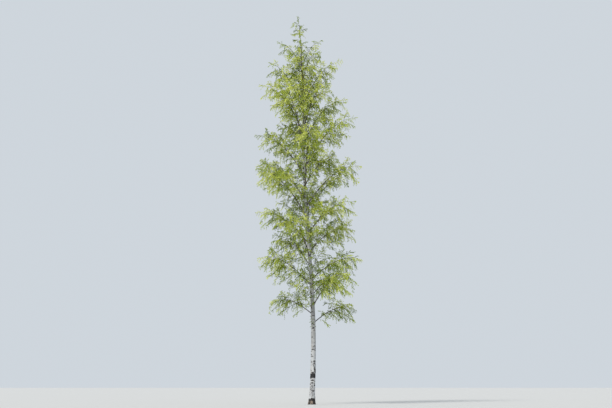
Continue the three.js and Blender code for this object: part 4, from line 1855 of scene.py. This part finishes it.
def makeLeaves():
    place, tangent, level, tone = leafPlaces()
    count = len(place)
    wander = draws.normal(0, leaf["wander"], (count, 3))
    hang = upward * leaf["hanging"] * draws.uniform(*leaf["hangs"], (count, 1))
    axis = unit(leaf["aside"] * level + leaf["ahead"] * tangent - hang + wander)
    aside, up, anyhow = leaf["facing"]
    facing = unit(aside * level + up * upward + draws.normal(0, anyhow, (count, 3)))
    across = unit(np.cross(axis, facing))
    facing = np.cross(across, axis)
    length = leaf["length"] * (1 + leaf["lengthScatter"] * draws.uniform(-1, 1, count))
    sideways, ahead, folded = (leaf["outline"][None, :, [column]] for column in range(3))
    rise = folded * leaf["fold"] - ahead**2 * leaf["curl"]
    points = place[:, None] + length[:, None, None] * (
        across[:, None] * (sideways * leaf["width"]) + axis[:, None] * ahead + facing[:, None] * rise
    )
    tone = tone + leaf["toneScatter"] * draws.uniform(-1, 1, count)
    kinds = len(leaf["greens"])
    share = (tone - leaf["toneLow"]) / (leaf["toneHigh"] - leaf["toneLow"])
    group = np.clip((share * kinds).astype(int), 0, kinds - 1)
    replaced = [f"foliage_{number + 1:02d}" for number in range(crown["limbs"])] + ["foliage_top"]
    for number, green in enumerate(leaf["greens"]):
        chosen = points[group == number]
        corners = leaf["faces"][None] + (np.arange(len(chosen)) * len(leaf["outline"]))[:, None, None]
        material = newMaterial(f"leaf_green_{number + 1}", green, leaf["roughness"], leaf["specular"])[0]
        makePiece(f"leaves_{number + 1}", chosen.reshape(-1, 3), corners.reshape(-1, 3), material,
                  replaced if number == kinds // 2 else ())
    print("leaves", count)


makeLeaves()


# Floor, light and camera

studio = {
    "floorSize": 3000,
    "floor": (0.60, 0.60, 0.59),
    "sky": (0.86, 0.93, 1.0),
    "skyStrength": 0.72,
    "sun": (1.0, 0.96, 0.90),
    "sunStrength": 2.4,
    "sunAngle": 14,
    "sunBearing": -128,  # the sun stands to the front left
    "sunHeight": 44,
    "eyeHeight": 0.9,
    "distance": 46.0,
    "pitch": 12.15,
    "lens": 50,
    "sensor": 36,
    "aside": -0.3,
}


def makeFloor():
    half = studio["floorSize"] / 2
    places = [(-half, -half, 0), (half, -half, 0), (half, half, 0), (-half, half, 0)]
    mesh = bpy.data.meshes.new("studio_floor")
    mesh.from_pydata(places, [], [(0, 1, 2, 3)])
    mesh.materials.append(newMaterial("floor_paint", studio["floor"], 0.9)[0])
    floor = bpy.data.objects.new("studio_floor", mesh)
    bpy.context.collection.objects.link(floor)


def makeLight():
    world = bpy.data.worlds.new("studio_sky")
    bpy.context.scene.world = world
    world.use_nodes = True
    background = world.node_tree.nodes["Background"]
    background.inputs["Color"].default_value = (*studio["sky"], 1)
    background.inputs["Strength"].default_value = studio["skyStrength"]
    light = bpy.data.lights.new("sun", "SUN")
    light.energy = studio["sunStrength"]
    light.angle = math.radians(studio["sunAngle"])
    light.color = studio["sun"]
    sun = bpy.data.objects.new("sun", light)
    bpy.context.collection.objects.link(sun)
    towards = -slope(math.radians(studio["sunBearing"]), math.radians(studio["sunHeight"]))
    sun.rotation_euler = Vector(towards).to_track_quat("-Z", "Y").to_euler()


def makeCamera():
    data = bpy.data.cameras.new("camera")
    data.lens = studio["lens"]
    data.sensor_width = studio["sensor"]
    camera = bpy.data.objects.new("camera", data)
    bpy.context.collection.objects.link(camera)
    camera.location = (studio["aside"], -studio["distance"], studio["eyeHeight"])
    camera.rotation_euler = (math.radians(90 + studio["pitch"]), 0, 0)
    bpy.context.scene.camera = camera
    bpy.context.scene.view_settings.view_transform = "Standard"


makeFloor()
makeLight()
makeCamera()
print("floor, light and camera made")
